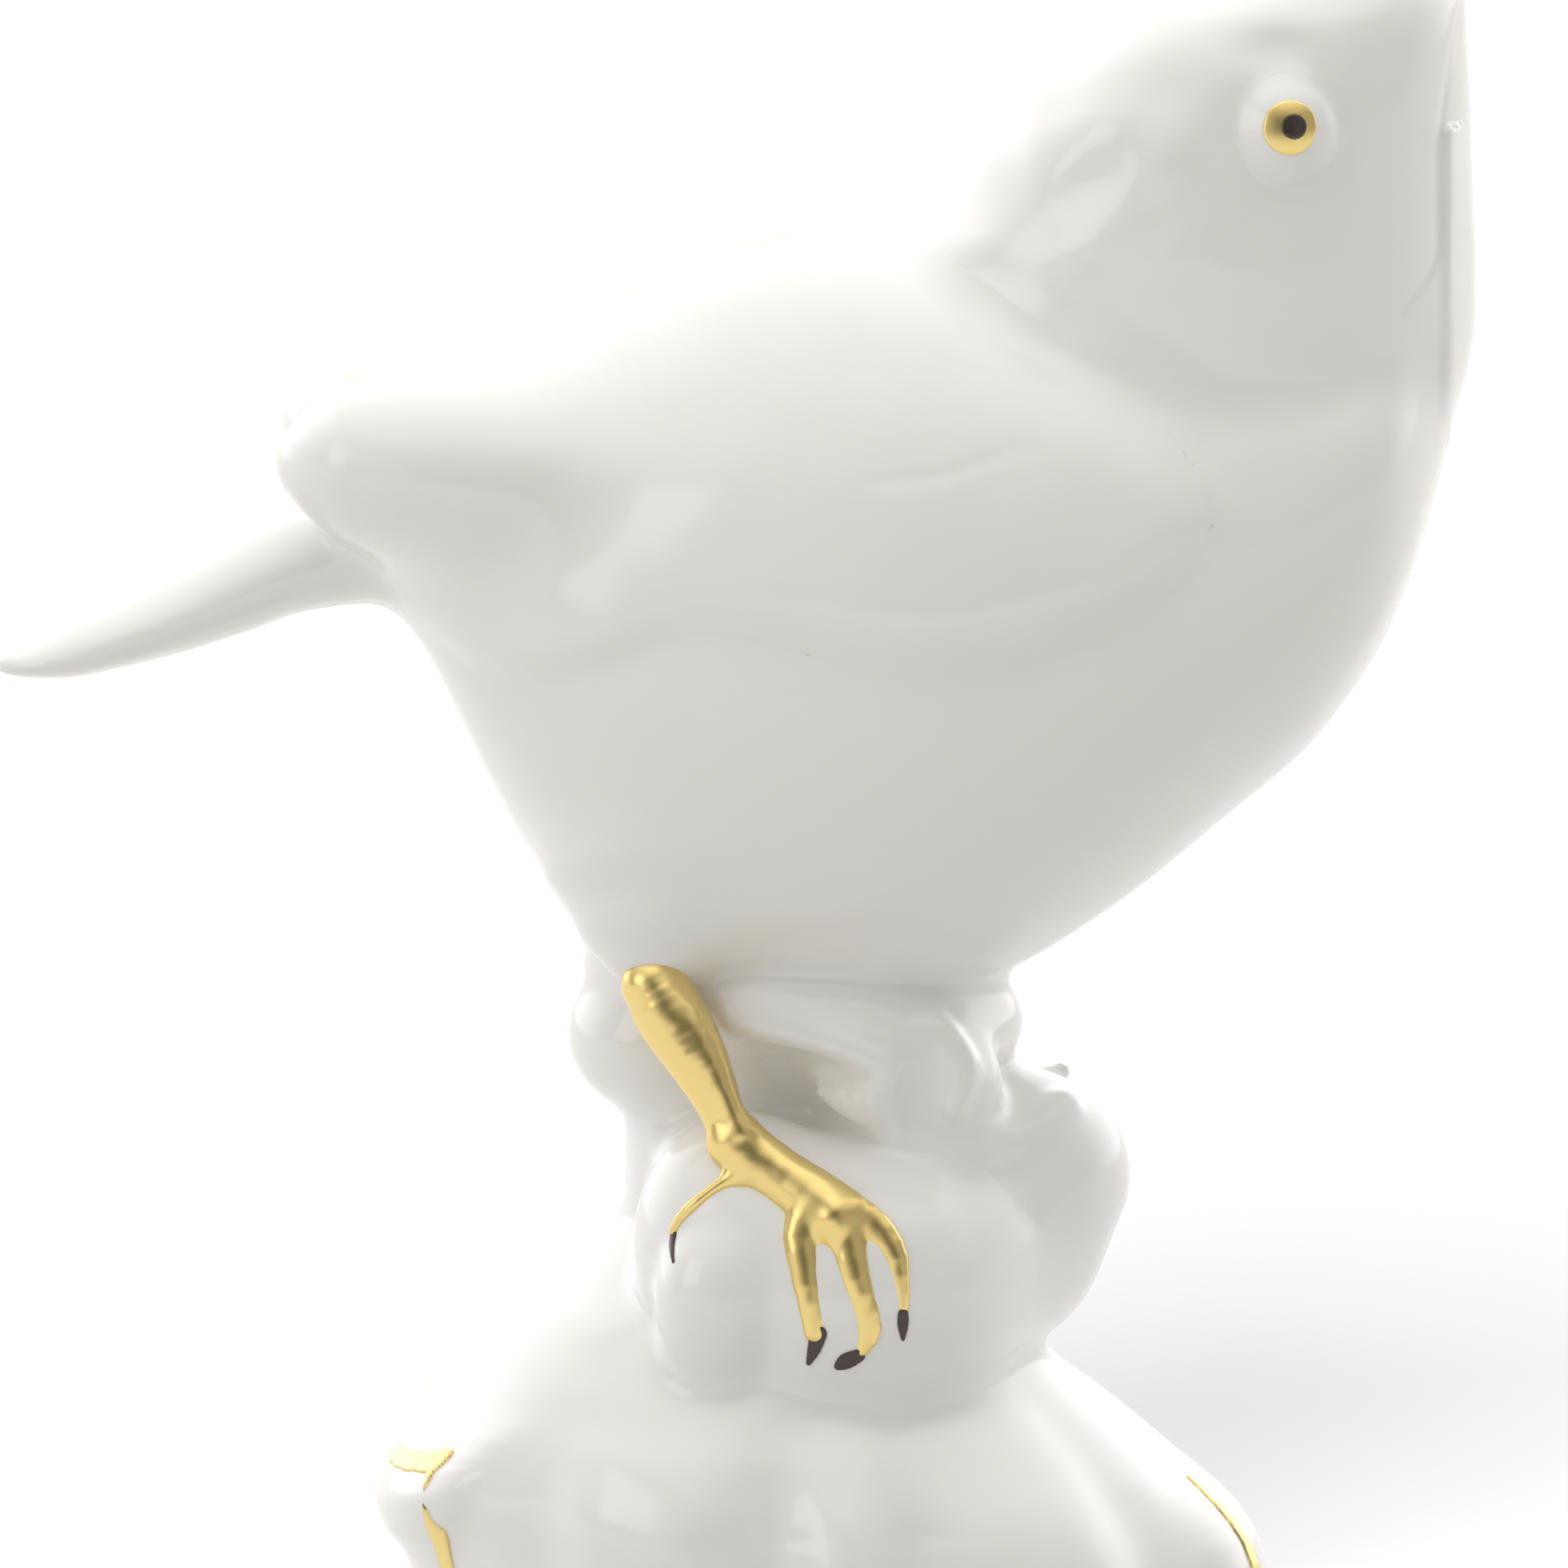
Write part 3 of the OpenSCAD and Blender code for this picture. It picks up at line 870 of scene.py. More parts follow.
@dataclass
class Bird:
    """Body, head, beak, wings, tail, eyes and thighs."""

    body: Box = field(default_factory=lambda: Box.of("bird_body"))
    head: Box = field(default_factory=lambda: Box.of("bird_head"))
    tail: Box = field(default_factory=lambda: Box.of("tail"))
    wing: Box = field(default_factory=lambda: Box.of("right_wing"))
    eye: Box = field(default_factory=lambda: Box.of("right_eye"))
    upper_beak: Box = field(default_factory=lambda: Box.of("upper_beak"))
    lower_beak: Box = field(default_factory=lambda: Box.of("lower_beak"))
    wing_rise: float = 0.9
    wrist_rise: float = 1.1
    neck_soft: float = 3.4
    lid_soft: float = 0.6
    gaze: Sequence[float] = (-0.5, 0.0, -1.0)

    # Share of the body's length, its underside and back as shares of the height, share of half width.
    BODY = ((0, 0.575, 0.7, 0.2), (0.067, 0.475, 0.82, 0.42), (0.125, 0.307, 0.848, 0.6),
            (0.19, 0.147, 0.875, 0.75),
            (0.26, 0.045, 0.915, 0.86), (0.36, 0, 0.972, 0.95), (0.48, 0, 0.998, 1),
            (0.58, 0.045, 0.995, 0.995),
            (0.686, 0.137, 0.98, 0.96), (0.809, 0.281, 0.97, 0.86), (0.868, 0.359, 0.965, 0.79),
            (0.919, 0.464, 0.95, 0.69), (0.95, 0.565, 0.92, 0.54), (0.972, 0.67, 0.87, 0.34),
            (0.982, 0.73, 0.82, 0.16))
    # Share of the head's height, its nape and throat as shares of the length, share of half width.
    HEAD = ((0, 0.2, 0.935, 0.79), (0.09, 0.12, 0.978, 0.9), (0.2, 0.06, 1, 0.98), (0.36, 0, 1, 1),
            (0.46, 0.012, 0.995, 0.99),
            (0.6, 0.066, 0.99, 0.965), (0.7, 0.127, 0.987, 0.93), (0.79, 0.204, 0.983, 0.86),
            (0.85, 0.28, 0.98, 0.79),
            (0.895, 0.371, 0.975, 0.7), (0.945, 0.52, 0.96, 0.54), (0.985, 0.68, 0.93, 0.34),
            (1, 0.76, 0.88, 0.16))
    # Share of the tail's length from its tip, underside and top as shares of the height, share of half width.
    TAIL = ((0, -0.01, 0.06, 0.3), (0.05, -0.07, 0.13, 0.66), (0.13, -0.09, 0.2, 0.86),
            (0.27, -0.09, 0.355, 0.97),
            (0.5, 0.01, 0.57, 1), (0.73, 0.153, 0.82, 0.95), (0.91, 0.28, 0.97, 0.9),
            (1.2, 0.35, 1.08, 0.8),
            (1.45, 0.4, 1.1, 0.55))
    # Outline of the folded wing as shares of its box, from the tip along the lower edge to the shoulder
    # and back.
    WING = ((-0.02, 0.52), (0.01, 0.38), (0.06, 0.24), (0.123, 0.11), (0.223, 0.012), (0.318, 0.037),
            (0.422, 0.105),
            (0.509, 0.068), (0.621, 0.019), (0.768, 0.037), (0.898, 0.13), (0.974, 0.272), (0.997, 0.424),
            (0.965, 0.567), (0.88, 0.72), (0.73, 0.86), (0.59, 1.05), (0.39, 1.1), (0.2, 1.0), (0.03, 0.9))
    # Line under the cheek, in millimetres from the middle of the head's box.
    CHEEK = ((19.5, 18.0), (17.2, 8.5), (16.6, 3.0), (16.7, -2.0), (16.0, -5.2), (13.4, -8.2))

    def __post_init__(self) -> None:
        """Works out the forms that several parts share."""
        self.trunk = self._loft(0, self.body, self.BODY)
        self.skull = self._loft(2, self.head, self.HEAD)
        self.wing_outline = Outline([(self.wing.at(x, 0, 0)[0], self.wing.at(0, 0, z)[2]) for x,
                                     z in self.WING])
        self.eye_middle = self.eye.at(0.5, 0.5, 0.5) + np.array(self.gaze)
        self.eye_radius = self.eye.size[0] / 2
        root = (self.upper_beak.at(0, 0.5, 0.28) + self.lower_beak.at(0, 0.5, 0.0)) / 2
        tip = self.upper_beak.at(1, 0.5, 1)
        self.beak_root, self.beak_axis = root, (tip - root) / np.linalg.norm(tip - root)
        self.beak_length = np.linalg.norm(tip - root)
        middle = self.head.at(0.5, 0.5, 0.5)
        self.cheek_line = smooth_rows([(middle[0] + x, middle[2] + z) for x, z in self.CHEEK], 4)

    @staticmethod
    def _loft(axis: int, box: Box, rows: Sequence[Sequence[float]]) -> Loft:
        """Loft through stations given as shares of a box."""
        other = 2 - axis
        table = [(box.low[axis] + s * box.size[axis], box.low[other] + a * box.size[other],
                  box.low[other] + b * box.size[other], w * box.size[1] / 2) for s, a, b, w in rows]
        return Loft(axis, np.array(table))

    @staticmethod
    def _scratch(p: Array, line: Array, width: float, depth: float) -> Array:
        """Fine line pressed along a path of x and z, fading out at its ends."""
        best, fade = np.full(len(p), FAR), np.zeros(len(p))
        q = p[:, [0, 2]]
        count = len(line) - 1
        for k, (a, b) in enumerate(zip(line[:-1], line[1:])):
            edge = b - a
            t = np.clip((q - a) @ edge / (edge @ edge), 0.0, 1.0)
            d = np.linalg.norm(q - a - t[:, None] * edge, axis=1)
            nearer = d < best
            best = np.where(nearer, d, best)
            fade = np.where(nearer, np.sin((k + t) / count * math.pi), fade)
        return depth * np.sqrt(np.maximum(fade, 0.0)) * np.exp(-((best / width) ** 2))

    def torso(self, p: Array) -> Array:
        """Distance to the body with its thighs."""
        q = mirrored(p)
        hip, knee = self.body.at(0.27, 0.27, 0.2), self.body.at(0.27, 0.23, 0.125)
        thigh = Strand([(*hip, 6.0), (*knee, 3.4)], 2)
        return melt(self.trunk(p), thigh(q), 5.0) + self._crease(q)

    def _crease(self, q: Array) -> Array:
        """Faint line pressed into the shoulder."""
        line = np.array([self.wing.at(x, 0, z)[[0, 2]] for x,
                         z in ((0.6, 0.485), (0.69, 0.51), (0.78, 0.575))])
        return self._scratch(q, line, 0.45, 0.07)

    def wing_form(self, p: Array) -> Array:
        """Distance to the right wing: a raised pad with a fleshy tip."""
        trunk = self.trunk(p)
        wrist = self.wing.at(0.74, 0, 0)[0]
        rise = self.wing_rise + self.wrist_rise * np.exp(-(((p[:, 0] - wrist) / 15.0) ** 2))
        share = np.clip((p[:, 0] - self.wing.low[0]) / self.wing.size[0], 0.0, 1.0)
        rise = rise * np.clip(share / 0.2, 0.0, 1.0)
        pad = carve(trunk - rise, self.wing_outline(p), 2.2 + 4.6 * np.clip((share - 0.2) / 0.35, 0.0, 1.0))
        pad = carve(pad, -(trunk + 2.5), 0.5)
        pad = carve(pad, p[:, 1] + 0.6, 1.0)
        tip = Pebble(self.body.at(0.1, 0.3, 0.722), (13.2, 8.2, 6.7), -4.0)(p)
        return melt(pad, tip, 5.0) + self._crease(p)

    def head_form(self, p: Array) -> Array:
        """Distance to the head and neck."""
        q = mirrored(p)
        brow = dent(q, self.eye_middle + np.array([-1.2, -3.0, 5.4]), (3.0, 6.0, 1.7), 0.75)
        socket = dent(q, self.eye_middle + np.array([-0.8, -3.0, -0.8]), (6.0, 7.0, 6.2), 0.95)
        nape = self.head.at(0.22, 0.2, 0.6)
        lumps = hand_made(q, 14.0) * np.exp(-(((q - nape) / np.array([10.0, 14.0, 12.0])) ** 2).sum(axis=1))
        return self.skull(p) + brow + socket - 0.6 * lumps + self._scratch(q, self.cheek_line, 0.3, 0.17)

    def lid_form(self, p: Array) -> Array:
        """Distance to the right eye's rounded lid, drawn up to a soft corner."""
        r = self.eye_radius
        ball = Pebble(self.eye_middle + np.array([-0.4, 0, -0.9]), (r, r * 1.03, r * 1.08))(p)
        corner = Pebble(self.eye_middle + np.array([0.6, 0.9, 2.6]), (1.8, 2.6, 2.1))(p)
        return melt(ball, corner, 1.2)

    def beak_form(self, upper: bool) -> Distance:
        """Half of the beak.

        Args:
            upper: Whether it is the upper half.

        Returns:
            Distance to that half.
        """
        side = 1 if upper else -1
        length = self.beak_length * (1.0 if upper else 0.92)
        across = np.array([-self.beak_axis[2], 0, self.beak_axis[0]])
        rows = [(*(self.beak_root + self.beak_axis * s * length + across * side * lift), r)
                for s, lift, r in ((-0.25, 1.1, 2.6), (0.2, 1.0, 2.1), (0.6, 0.6, 1.25), (1.0, 0.18, 0.32))]
        half = Strand(rows, 4, flat=0.85)

        def distance(p: Array) -> Array:
            """Distance to this half of the beak."""
            level = (p - self.beak_root) @ across * side
            return carve(half(p), 0.03 - level, 0.3)

        return distance

    def tail_form(self, p: Array) -> Array:
        """Distance to the tail."""
        q = p.copy()
        q[:, 2] += 0.012 * p[:, 1] ** 2
        blade = self._loft(0, self.tail, self.TAIL)(q)
        groove = 0.22 * np.exp(-(((np.abs(p[:, 1]) - self.tail.size[1] * 0.2) / 0.7) ** 2))
        return blade + groove

    def add_to(self, porcelain: Porcelain) -> None:
        """Adds the bird's white parts to the figurine."""
        porcelain.add("bird_body", self.torso, 1.0)
        nape = self.head.at(0.75, 0, 0)[0]
        porcelain.add("bird_head", self.head_form,
                      lambda p: 2.0 + self.neck_soft * np.clip((nape - p[:, 0]) / 20.0, 0.0, 1.0))
        for side in Side:
            porcelain.add(f"{side.word}_wing", beside(self.wing_form, side), 1.0)
            porcelain.add(f"{side.word}_eye", beside(self.lid_form, side), self.lid_soft)
        porcelain.add("tail", self.tail_form, 1.6)
        porcelain.add("upper_beak", self.beak_form(True), 1.2)
        porcelain.add("lower_beak", self.beak_form(False), 1.2)


@dataclass
class Rock:
    """Rock column and the boulders that the feet stand on."""

    column: Box = field(default_factory=lambda: Box.of("rock_column"))
    boulder: Box = field(default_factory=lambda: Box.of("right_boulder"))
    body: Box = field(default_factory=lambda: Box.of("bird_body"))

    # Knobs of the column: place in millimetres from the middle of its box, radii, and tip in degrees.
    KNOBS = (((10.6, -0.8, -6.6), (10.4, 10.0, 8.6), 14.0), ((6.6, -0.5, -12.0), (12.0, 10.5, 8.0), 0.0),
             ((3.6, -8.6, 3.2), (8.0, 5.6, 5.4), -16.0), ((-13.6, -0.4, 4.6), (7.0, 8.4, 6.0), 0.0),
             ((-14.6, -0.4, 10.6), (4.6, 6.2, 3.0), 0.0), ((-11.0, -0.8, -4.4), (5.4, 8.5, 6.4), 0.0),
             ((3.4, 9.4, -1.4), (8.5, 5.5, 7.5), 14.0), ((-6.4, 9.2, -8.6), (6.5, 5.5, 6.5), 0.0))
    # Boulder lumps: place in millimetres from the middle of its box, and radii.
    LUMPS = (((0.4, 3.0, -2.6), (12.6, 10.6, 11.0)), ((-7.0, 3.2, 0.6), (8.2, 8.4, 9.6)))
    KNUCKLE = ((-8.6, -2.6, -2.6), (5.0, 4.8, 6.6))

    # Folds over the column's face: places in millimetres along and up from the middle of its box,
    # and a radius.
    FOLDS = (((-8.4, 7.6, 0.8), (-1.4, 6.2, 1.1), (2.6, 4.4, 1.2), (2.0, 1.6, 1.1), (5.6, -1.6, 1.2),
              (11.6, -1.9, 1.1), (16.0, 0.2, 0.7)),
             ((-7.0, 5.0, 0.6), (-2.6, 2.4, 0.8), (0.6, 1.2, 0.6)),
             ((6.4, 7.4, 0.7), (8.4, 4.6, 0.9), (7.6, 1.6, 0.7)),
             ((11.0, -8.6, 0.7), (6.6, -4.6, 0.9), (4.4, -9.6, 0.7)))
    # Hollows in its face: place along and up, reach along and up, depth.
    POCKETS = ((-4.6, 0.6, 3.2, 3.0, 2.0), (-3.6, 4.4, 4.4, 1.5, 0.7), (5.4, 2.4, 2.6, 2.6, 0.9),
               (9.0, -4.8, 5.0, 2.6, 0.7))

    def column_form(self) -> Distance:
        """Distance to the column with its knobs and its collar under the belly."""
        c, top = self.column, self.body.low[2]
        low, middle = c.low[2], c.at(0.5, 0.5, 0.5)
        rows = np.array([(low - 8, -15.0, 15.5, 14.0), (low, -13.6, 15.0, 13.2),
                         (low + 6, -13.2, 13.4, 12.0),
                         (top - 9, -12.6, 12.8, 11.4), (top - 3, -13.6, 12.6, 11.2),
                         (top + 3, -15.0, 13.2, 12.5)])
        collar = Pebble((-0.6, 0.0, top + 1.4), (15.6, 14.8, 5.4), -10.0)
        knobs = [Pebble(middle + np.array(place), radii, tip) for place, radii, tip in self.KNOBS]
        solid = together([Loft(2, rows), *knobs, collar], 2.6)

        def on_face(along: float, up: float) -> tuple[float, float, float] | None:
            """Place on the front face, or none where the column has no face."""
            y = np.linspace(-24.0, -3.0, 160)
            line = np.stack([np.full(160, middle[0] + along), y, np.full(160, middle[2] + up)], axis=1)
            inside = solid(line) < 0
            return (middle[0] + along, float(y[int(np.argmax(inside))]),
                    middle[2] + up) if inside.any() else None

        rows = [[(*place, r) for a, u, r in fold if (place := on_face(a, u))] for fold in self.FOLDS]
        folds = [beside(Strand(fold, 4), side) for fold in rows if len(fold) > 1 for side in Side]
        pockets = [(place, (w, 5.0, h), depth) for a, u, w, h,
                   depth in self.POCKETS if (place := on_face(a, u))]

        def distance(p: Array) -> Array:
            """Distance to the column with its folds and hollows."""
            q = mirrored(p)
            return melt(solid(p), together(folds, 1.0)(p),
                        1.8) + sum(dent(q, *pocket) for pocket in pockets)

        return distance

    def boulder_form(self, p: Array) -> Array:
        """Distance to the boulder under the right foot."""
        middle = self.boulder.at(0.5, 0.5, 0.5)
        main = together([Pebble(middle + np.array(place), radii) for place, radii in self.LUMPS], 3.0)(p)
        place, radii = self.KNUCKLE
        return melt(main, Pebble(middle + np.array(place), radii)(p), 0.9)

    def add_to(self, porcelain: Porcelain) -> None:
        """Adds the rock to the figurine."""
        porcelain.add("rock_column", self.column_form(), 1.5)
        for side in Side:
            breast = self.boulder.at(0.6, 0, 0)[0]
            porcelain.add(f"{side.word}_boulder", beside(self.boulder_form, side),
                          lambda p: 1.6 + 5.0 * np.clip((p[:, 0] - breast) / 8.0, 0.0, 1.0))


@dataclass(frozen=True)
class Crest:
    """One rocaille crest that curls out of the mound."""

    word: str
    turn: float
    path: Sequence[Sequence[float]]
    breadth: float
    rim: int
    gilt_lip: bool = True
    wrap: float = 0.02
    droop: float = 0.016

    def local(self, p: Array) -> Array:
        """Points turned so that the crest lies along +X."""
        c, s = math.cos(math.radians(self.turn)), math.sin(math.radians(self.turn))
        return np.stack([p[:, 0] * c + p[:, 1] * s, p[:, 1] * c - p[:, 0] * s, p[:, 2]], axis=1)

    def world(self, p: Array) -> Array:
        """Points turned back from the crest's own directions."""
        c, s = math.cos(math.radians(self.turn)), math.sin(math.radians(self.turn))
        return np.stack([p[:, 0] * c - p[:, 1] * s, p[:, 1] * c + p[:, 0] * s, p[:, 2]], axis=1)

    def form(self) -> Distance:
        """Distance to the crest: a leaf bent round the mound, whose lip droops at its middle."""
        rows = smooth_rows([(r, 0, z, t) for r, z, t in self.path], 3)
        leaf = Strand(rows, 1, flat=self.breadth)

        def distance(p: Array) -> Array:
            """Distance to the bent leaf."""
            q = self.local(p)
            q[:, 0] += self.wrap * q[:, 1] ** 2
            q[:, 2] -= self.droop * q[:, 1] ** 2
            return leaf(q)

        return distance

    def rim_line(self, porcelain: Porcelain) -> Array:
        """Rows of place and radius along the gilt rim, over the lip and down one side."""
        rows = smooth_rows([(r, 0, z, t) for r, z, t in self.path], 3)
        half = rows[:, 3] * self.breadth
        lip = int(np.argmax(rows[:, 0] + 0.8 * rows[:, 2]))
        line = []
        if self.gilt_lip:
            for share in np.linspace(0.0, 0.86, 9):
                y = share * half[lip]
                line.append((rows[lip, 0] - self.wrap * y * y + 1.3 - 0.5 * share, self.rim * y,
                             rows[lip, 2] + self.droop * y * y + 0.5, 0.8 + 0.35 * share))
        edge = 0.86 if self.gilt_lip else 0.5
        first = lip if self.gilt_lip else 1
        for k in range(first, len(rows)):
            y = half[k] * edge
            share = (k - first) / (len(rows) - first)
            width = 1.05 - 0.55 * share if self.gilt_lip else 0.3 + 0.65 * math.sin(math.pi
                                                                                    * min(share
                                                                                          * 1.6 + 0.05,
                                                                                          1.0))
            line.append((rows[k, 0] - self.wrap * y * y + 0.8, self.rim * y,
                         rows[k, 2] + self.droop * y * y, width))
        line = np.array(line)
        line[:, :3] = porcelain.onto(self.world(line[:, :3]))
        return line


@dataclass
class Base:
    """Hollow mound, its four rocaille crests and the foot ring."""

    mound: Box = field(default_factory=lambda: Box.of("base_mound"))
    ring: Box = field(default_factory=lambda: Box.of("foot_ring"))
    wall: float = 3.6

    # Height in millimetres, and the mound's radius towards the tail and towards the breast.
    PROFILE = ((3, 33.4, 34.2), (6, 32.2, 33.6), (10, 30, 32), (14, 28.2, 31), (18, 27.6, 30.6),
               (22, 28.4, 29.6),
               (26, 29.4, 26.6), (30, 28.6, 22), (33, 26.8, 18), (36, 24.6, 14.6), (38.4, 22.2, 12.9),
               (40.8, 18.8, 11.6),
               (43.3, 16.2, 10.4), (46, 14, 9.6), (49, 12, 8.5))
    # Flutes down the mound: direction in degrees from +X, half width in degrees, depth.
    FLUTES = ((-98, 9, 3.0), (-74, 8, 2.4), (-137, 8, 1.0), (-35, 8, 1.0), (98, 9, 3.0), (74, 8, 2.4),
              (137, 8, 1.0),
              (35, 8, 1.0))
    # Crests as radius, height and half thickness, from the top down.
    CRESTS = (Crest("front", 0,
                    ((23.5, 24.6, 1.2), (27.6, 22.8, 1.9), (30.4, 19.4, 2.3), (31.4, 15, 2.3),
                     (31.2, 10.5, 2.1),
                                 (33.6, 6.5, 2.0), (36.6, 4.9, 1.6)), 4.6, -1, False),
              Crest("right", -90,
                    ((26.5, 21, 1.2), (31.4, 19.8, 1.9), (33.6, 17, 2.3), (32.4, 13, 2.2), (32.6, 9.2, 2.0),
                                   (35.2, 6, 2.0), (38, 4.4, 1.6)), 4.2, 1),
              Crest("back", 180,
                    ((24.6, 28.6, 1.2), (28.6, 26.6, 2.0), (30.8, 23.4, 2.4), (29.2, 19.8, 2.0),
                                  (28.2, 14.5, 1.9), (31, 8.6, 2.0), (35, 5.2, 1.7)), 6.0, 1),
              Crest("left", 90,
                    ((26.5, 21, 1.2), (31.4, 19.8, 1.9), (33.6, 17, 2.3), (32.4, 13, 2.2), (32.6, 9.2, 2.0),
                                 (35.2, 6, 2.0), (38, 4.4, 1.6)), 4.2, -1))

    def __post_init__(self) -> None:
        """Smooths the mound's profile."""
        self.table = smooth_rows(self.PROFILE, 6)
        self.fall = np.gradient(self.table[:, 1] + self.table[:, 2], self.table[:, 0]) / 2

    def mound_form(self, p: Array) -> Array:
        """Distance to the mound, with soft flutes."""
        z = np.clip(p[:, 2], self.table[0, 0], self.table[-1, 0])
        tailward, breastward = (np.interp(z, self.table[:, 0], self.table[:, k]) for k in (1, 2))
        r = np.maximum(np.hypot(p[:, 0], p[:, 1]), 1e-6)
        radius = tailward + (breastward - tailward) * (1 + p[:, 0] / r) / 2
        turn = np.degrees(np.arctan2(p[:, 1], p[:, 0]))
        fade = np.clip((34.5 - z) / 9.0, 0.0, 1.0) * np.clip((z - 3.0) / 5.0, 0.0, 1.0)
        for way, half, depth in self.FLUTES:
            off = (turn - way + 180.0) % 360.0 - 180.0
            radius = radius - depth * fade * np.exp(-((off / half) ** 2))
        slope = np.interp(z, self.table[:, 0], self.fall)
        side = (r - radius) / np.sqrt(1 + slope**2)
        top = p[:, 2] - self.table[-1, 0]
        return carve(carve(side, top, 2.0), self.table[0, 0] - p[:, 2], 0.6)

    def cavity_form(self, p: Array) -> Array:
        """Distance to the hollow under the mound."""
        q = p.copy()
        q[:, 2] = np.clip(p[:, 2], self.table[0, 0] + 2, None)
        inner = self.mound_form(q) + self.wall
        return np.maximum(inner, p[:, 2] - (self.mound.high[2] - 3 * self.wall))

    def ring_form(self, p: Array) -> Array:
        """Distance to the foot ring."""
        outer = self.ring.size[0] / 2
        inner = outer - 4.2
        r = np.hypot(p[:, 0], p[:, 1])
        d = carve(np.abs(r - (outer + inner) / 2) - (outer - inner) / 2, p[:, 2] - self.ring.high[2] - 0.6,
                  0.6)
        return carve(d, -p[:, 2], 0.5)

    def add_to(self, porcelain: Porcelain) -> None:
        """Adds the base to the figurine."""
        porcelain.add("base_mound", self.mound_form, 2.4)
        for crest in self.CRESTS:
            porcelain.add(f"{crest.word}_scroll", crest.form(), 1.4)


@dataclass
class Decoration:
    """Gilding and enamel: legs and feet, claws, eyes and the lines along the crests."""

    porcelain: Porcelain
    bird: Bird
    base: Base
    boulder: Box = field(default_factory=lambda: Box.of("right_boulder"))
    leg: Box = field(default_factory=lambda: Box.of("right_leg"))
    iris_radius: float = 1.95
    pupil_radius: float = 0.92

    # Places on the right foot, in millimetres along and up from the middle of the boulder's box,
    # and a radius.
    PALM = ((-4.6, 6.9, 1.5), (-2.4, 5.6, 1.8), (-0.4, 4.2, 1.8))
    TOES = (((-2.4, 4.8, 1.5), (-2.9, 2.6, 1.3), (-2.4, -0.7, 1.0), (-1.8, -4.0, 0.85)),
            ((-0.8, 4.6, 1.6), (0.3, 2.8, 1.35), (1.2, -0.1, 1.1), (2.1, -3.6, 0.95), (1.6, -5.4, 0.5)),
            ((0.2, 4.6, 1.4), (2.5, 3.6, 1.15), (4.1, 1.2, 0.9), (4.6, -2.2, 0.45)))
    HIND = ((-6.9, 7.2, 0.9), (-8.6, 6.3, 0.46), (-10.4, 5.0, 0.44), (-11.7, 3.6, 0.4), (-12.2, 2.7, 0.32))
    CLAWS = (((-1.6, -4.1, 0.64), (-1.9, -5.3, 0.5), (-2.3, -6.4, 0.2)),
             ((1.3, -5.8, 0.54), (0.5, -6.2, 0.66), (-0.1, -6.6, 0.35)),
             ((4.6, -2.7, 0.4), (4.6, -3.5, 0.42), (4.6, -4.6, 0.16)),
             ((-12.2, 2.5, 0.32), (-12.3, 1.7, 0.27), (-12.2, 0.8, 0.13)))
    # Where painted shade and dark reflection darken the gold: along and up from the ankle, and a radius.
    BROWN = (((-5.1, 10.8, 0.2), (-4.4, 8.6, 0.7), (-3.5, 6.1, 0.85), (-1.9, 3.4, 0.8), (0.2, 0.8, 0.4)),
             ((4.6, -7.8, 0.8), (5.6, -8.9, 0.9)), ((8.0, -9.4, 0.4), (8.8, -10.6, 0.5)),
             ((3.5, -2.4, 0.3), (6.8, -3.2, 0.6), (9.4, -4.4, 0.4)))

    def on_rock(self, rows: Sequence[Sequence[float]], rise: float) -> list[tuple[float, ...]]:
        """Places on the outer face of the right boulder.

        Args:
            rows: Places along and up from the middle of the boulder, with a radius.
            rise: How far the places lie outside the surface, as a share of the radius.

        Returns:
            Rows of place and radius.
        """
        middle = self.boulder.at(0.5, 0.5, 0.5)
        y = np.linspace(self.boulder.low[1] - 6, self.boulder.high[1] + 6, 240)
        out = []
        for along, up, radius in rows:
            x, z = middle[0] + along, middle[2] + up
            line = np.stack([np.full(240, x), y, np.full(240, z)], axis=1)
            first = max(int(np.argmax(self.porcelain.surface(line) < 0)), 1)
            point = self.porcelain.onto([line[first - 1]])
            point = point + slopes(self.porcelain.surface, point, 0.2) * rise * radius
            out.append((x, point[0, 1], z, radius))
        return out

    @property
    def ankle(self) -> Array:
        """Middle of the right ankle."""
        return np.array([self.boulder.at(0.5, 0, 0)[0] - 7.6, -17.6, self.boulder.high[2] + 1.0])

    def leg_form(self) -> tuple[Distance, Strand]:
        """The right shank, foot and toes, and the line that its brush strokes follow."""
        ankle = self.ankle
        hip = np.array([self.leg.low[0] + 2.6, self.leg.high[1] - 3.6, self.leg.high[2] - 4.0])
        rows = [(*(hip + (ankle - hip) * share + np.array([bow, 0.0, 0.0])), radius)
                for share, radius,
                bow in ((0.0, 2.35, 0.0), (0.2, 2.6, 0.1), (0.42, 2.35, 0.35), (0.64, 1.9, 0.3),
                                           (0.84, 1.55, 0.1), (1.0, 1.4, 0.0))]
        shank = Strand(rows, 4)
        tendon = Strand([(*(hip + (ankle - hip) * share + np.array([1.6 - share * 0.9, -1.2, 0.4])), r)
                         for share, r in ((0.2, 0.8), (0.45, 1.05), (0.7, 0.85), (0.95, 0.7))], 4)
        start = (*ankle, 1.4)
        toes = [Strand([start, *self.on_rock((self.PALM[0],), 0.0), *self.on_rock(toe, -0.35)], 3,
                       flat=0.7) for toe in self.TOES]
        palm = Strand([start, *self.on_rock(self.PALM, -0.2)], 3)
        heel = Strand([start, *self.on_rock(self.HIND, -0.25)], 3)
        limb = together([shank, palm, *toes, heel], 1.3)
        return lambda p: melt(limb(p), tendon(p), 0.7) + 0.05 * hand_made(p, 4.1), shank

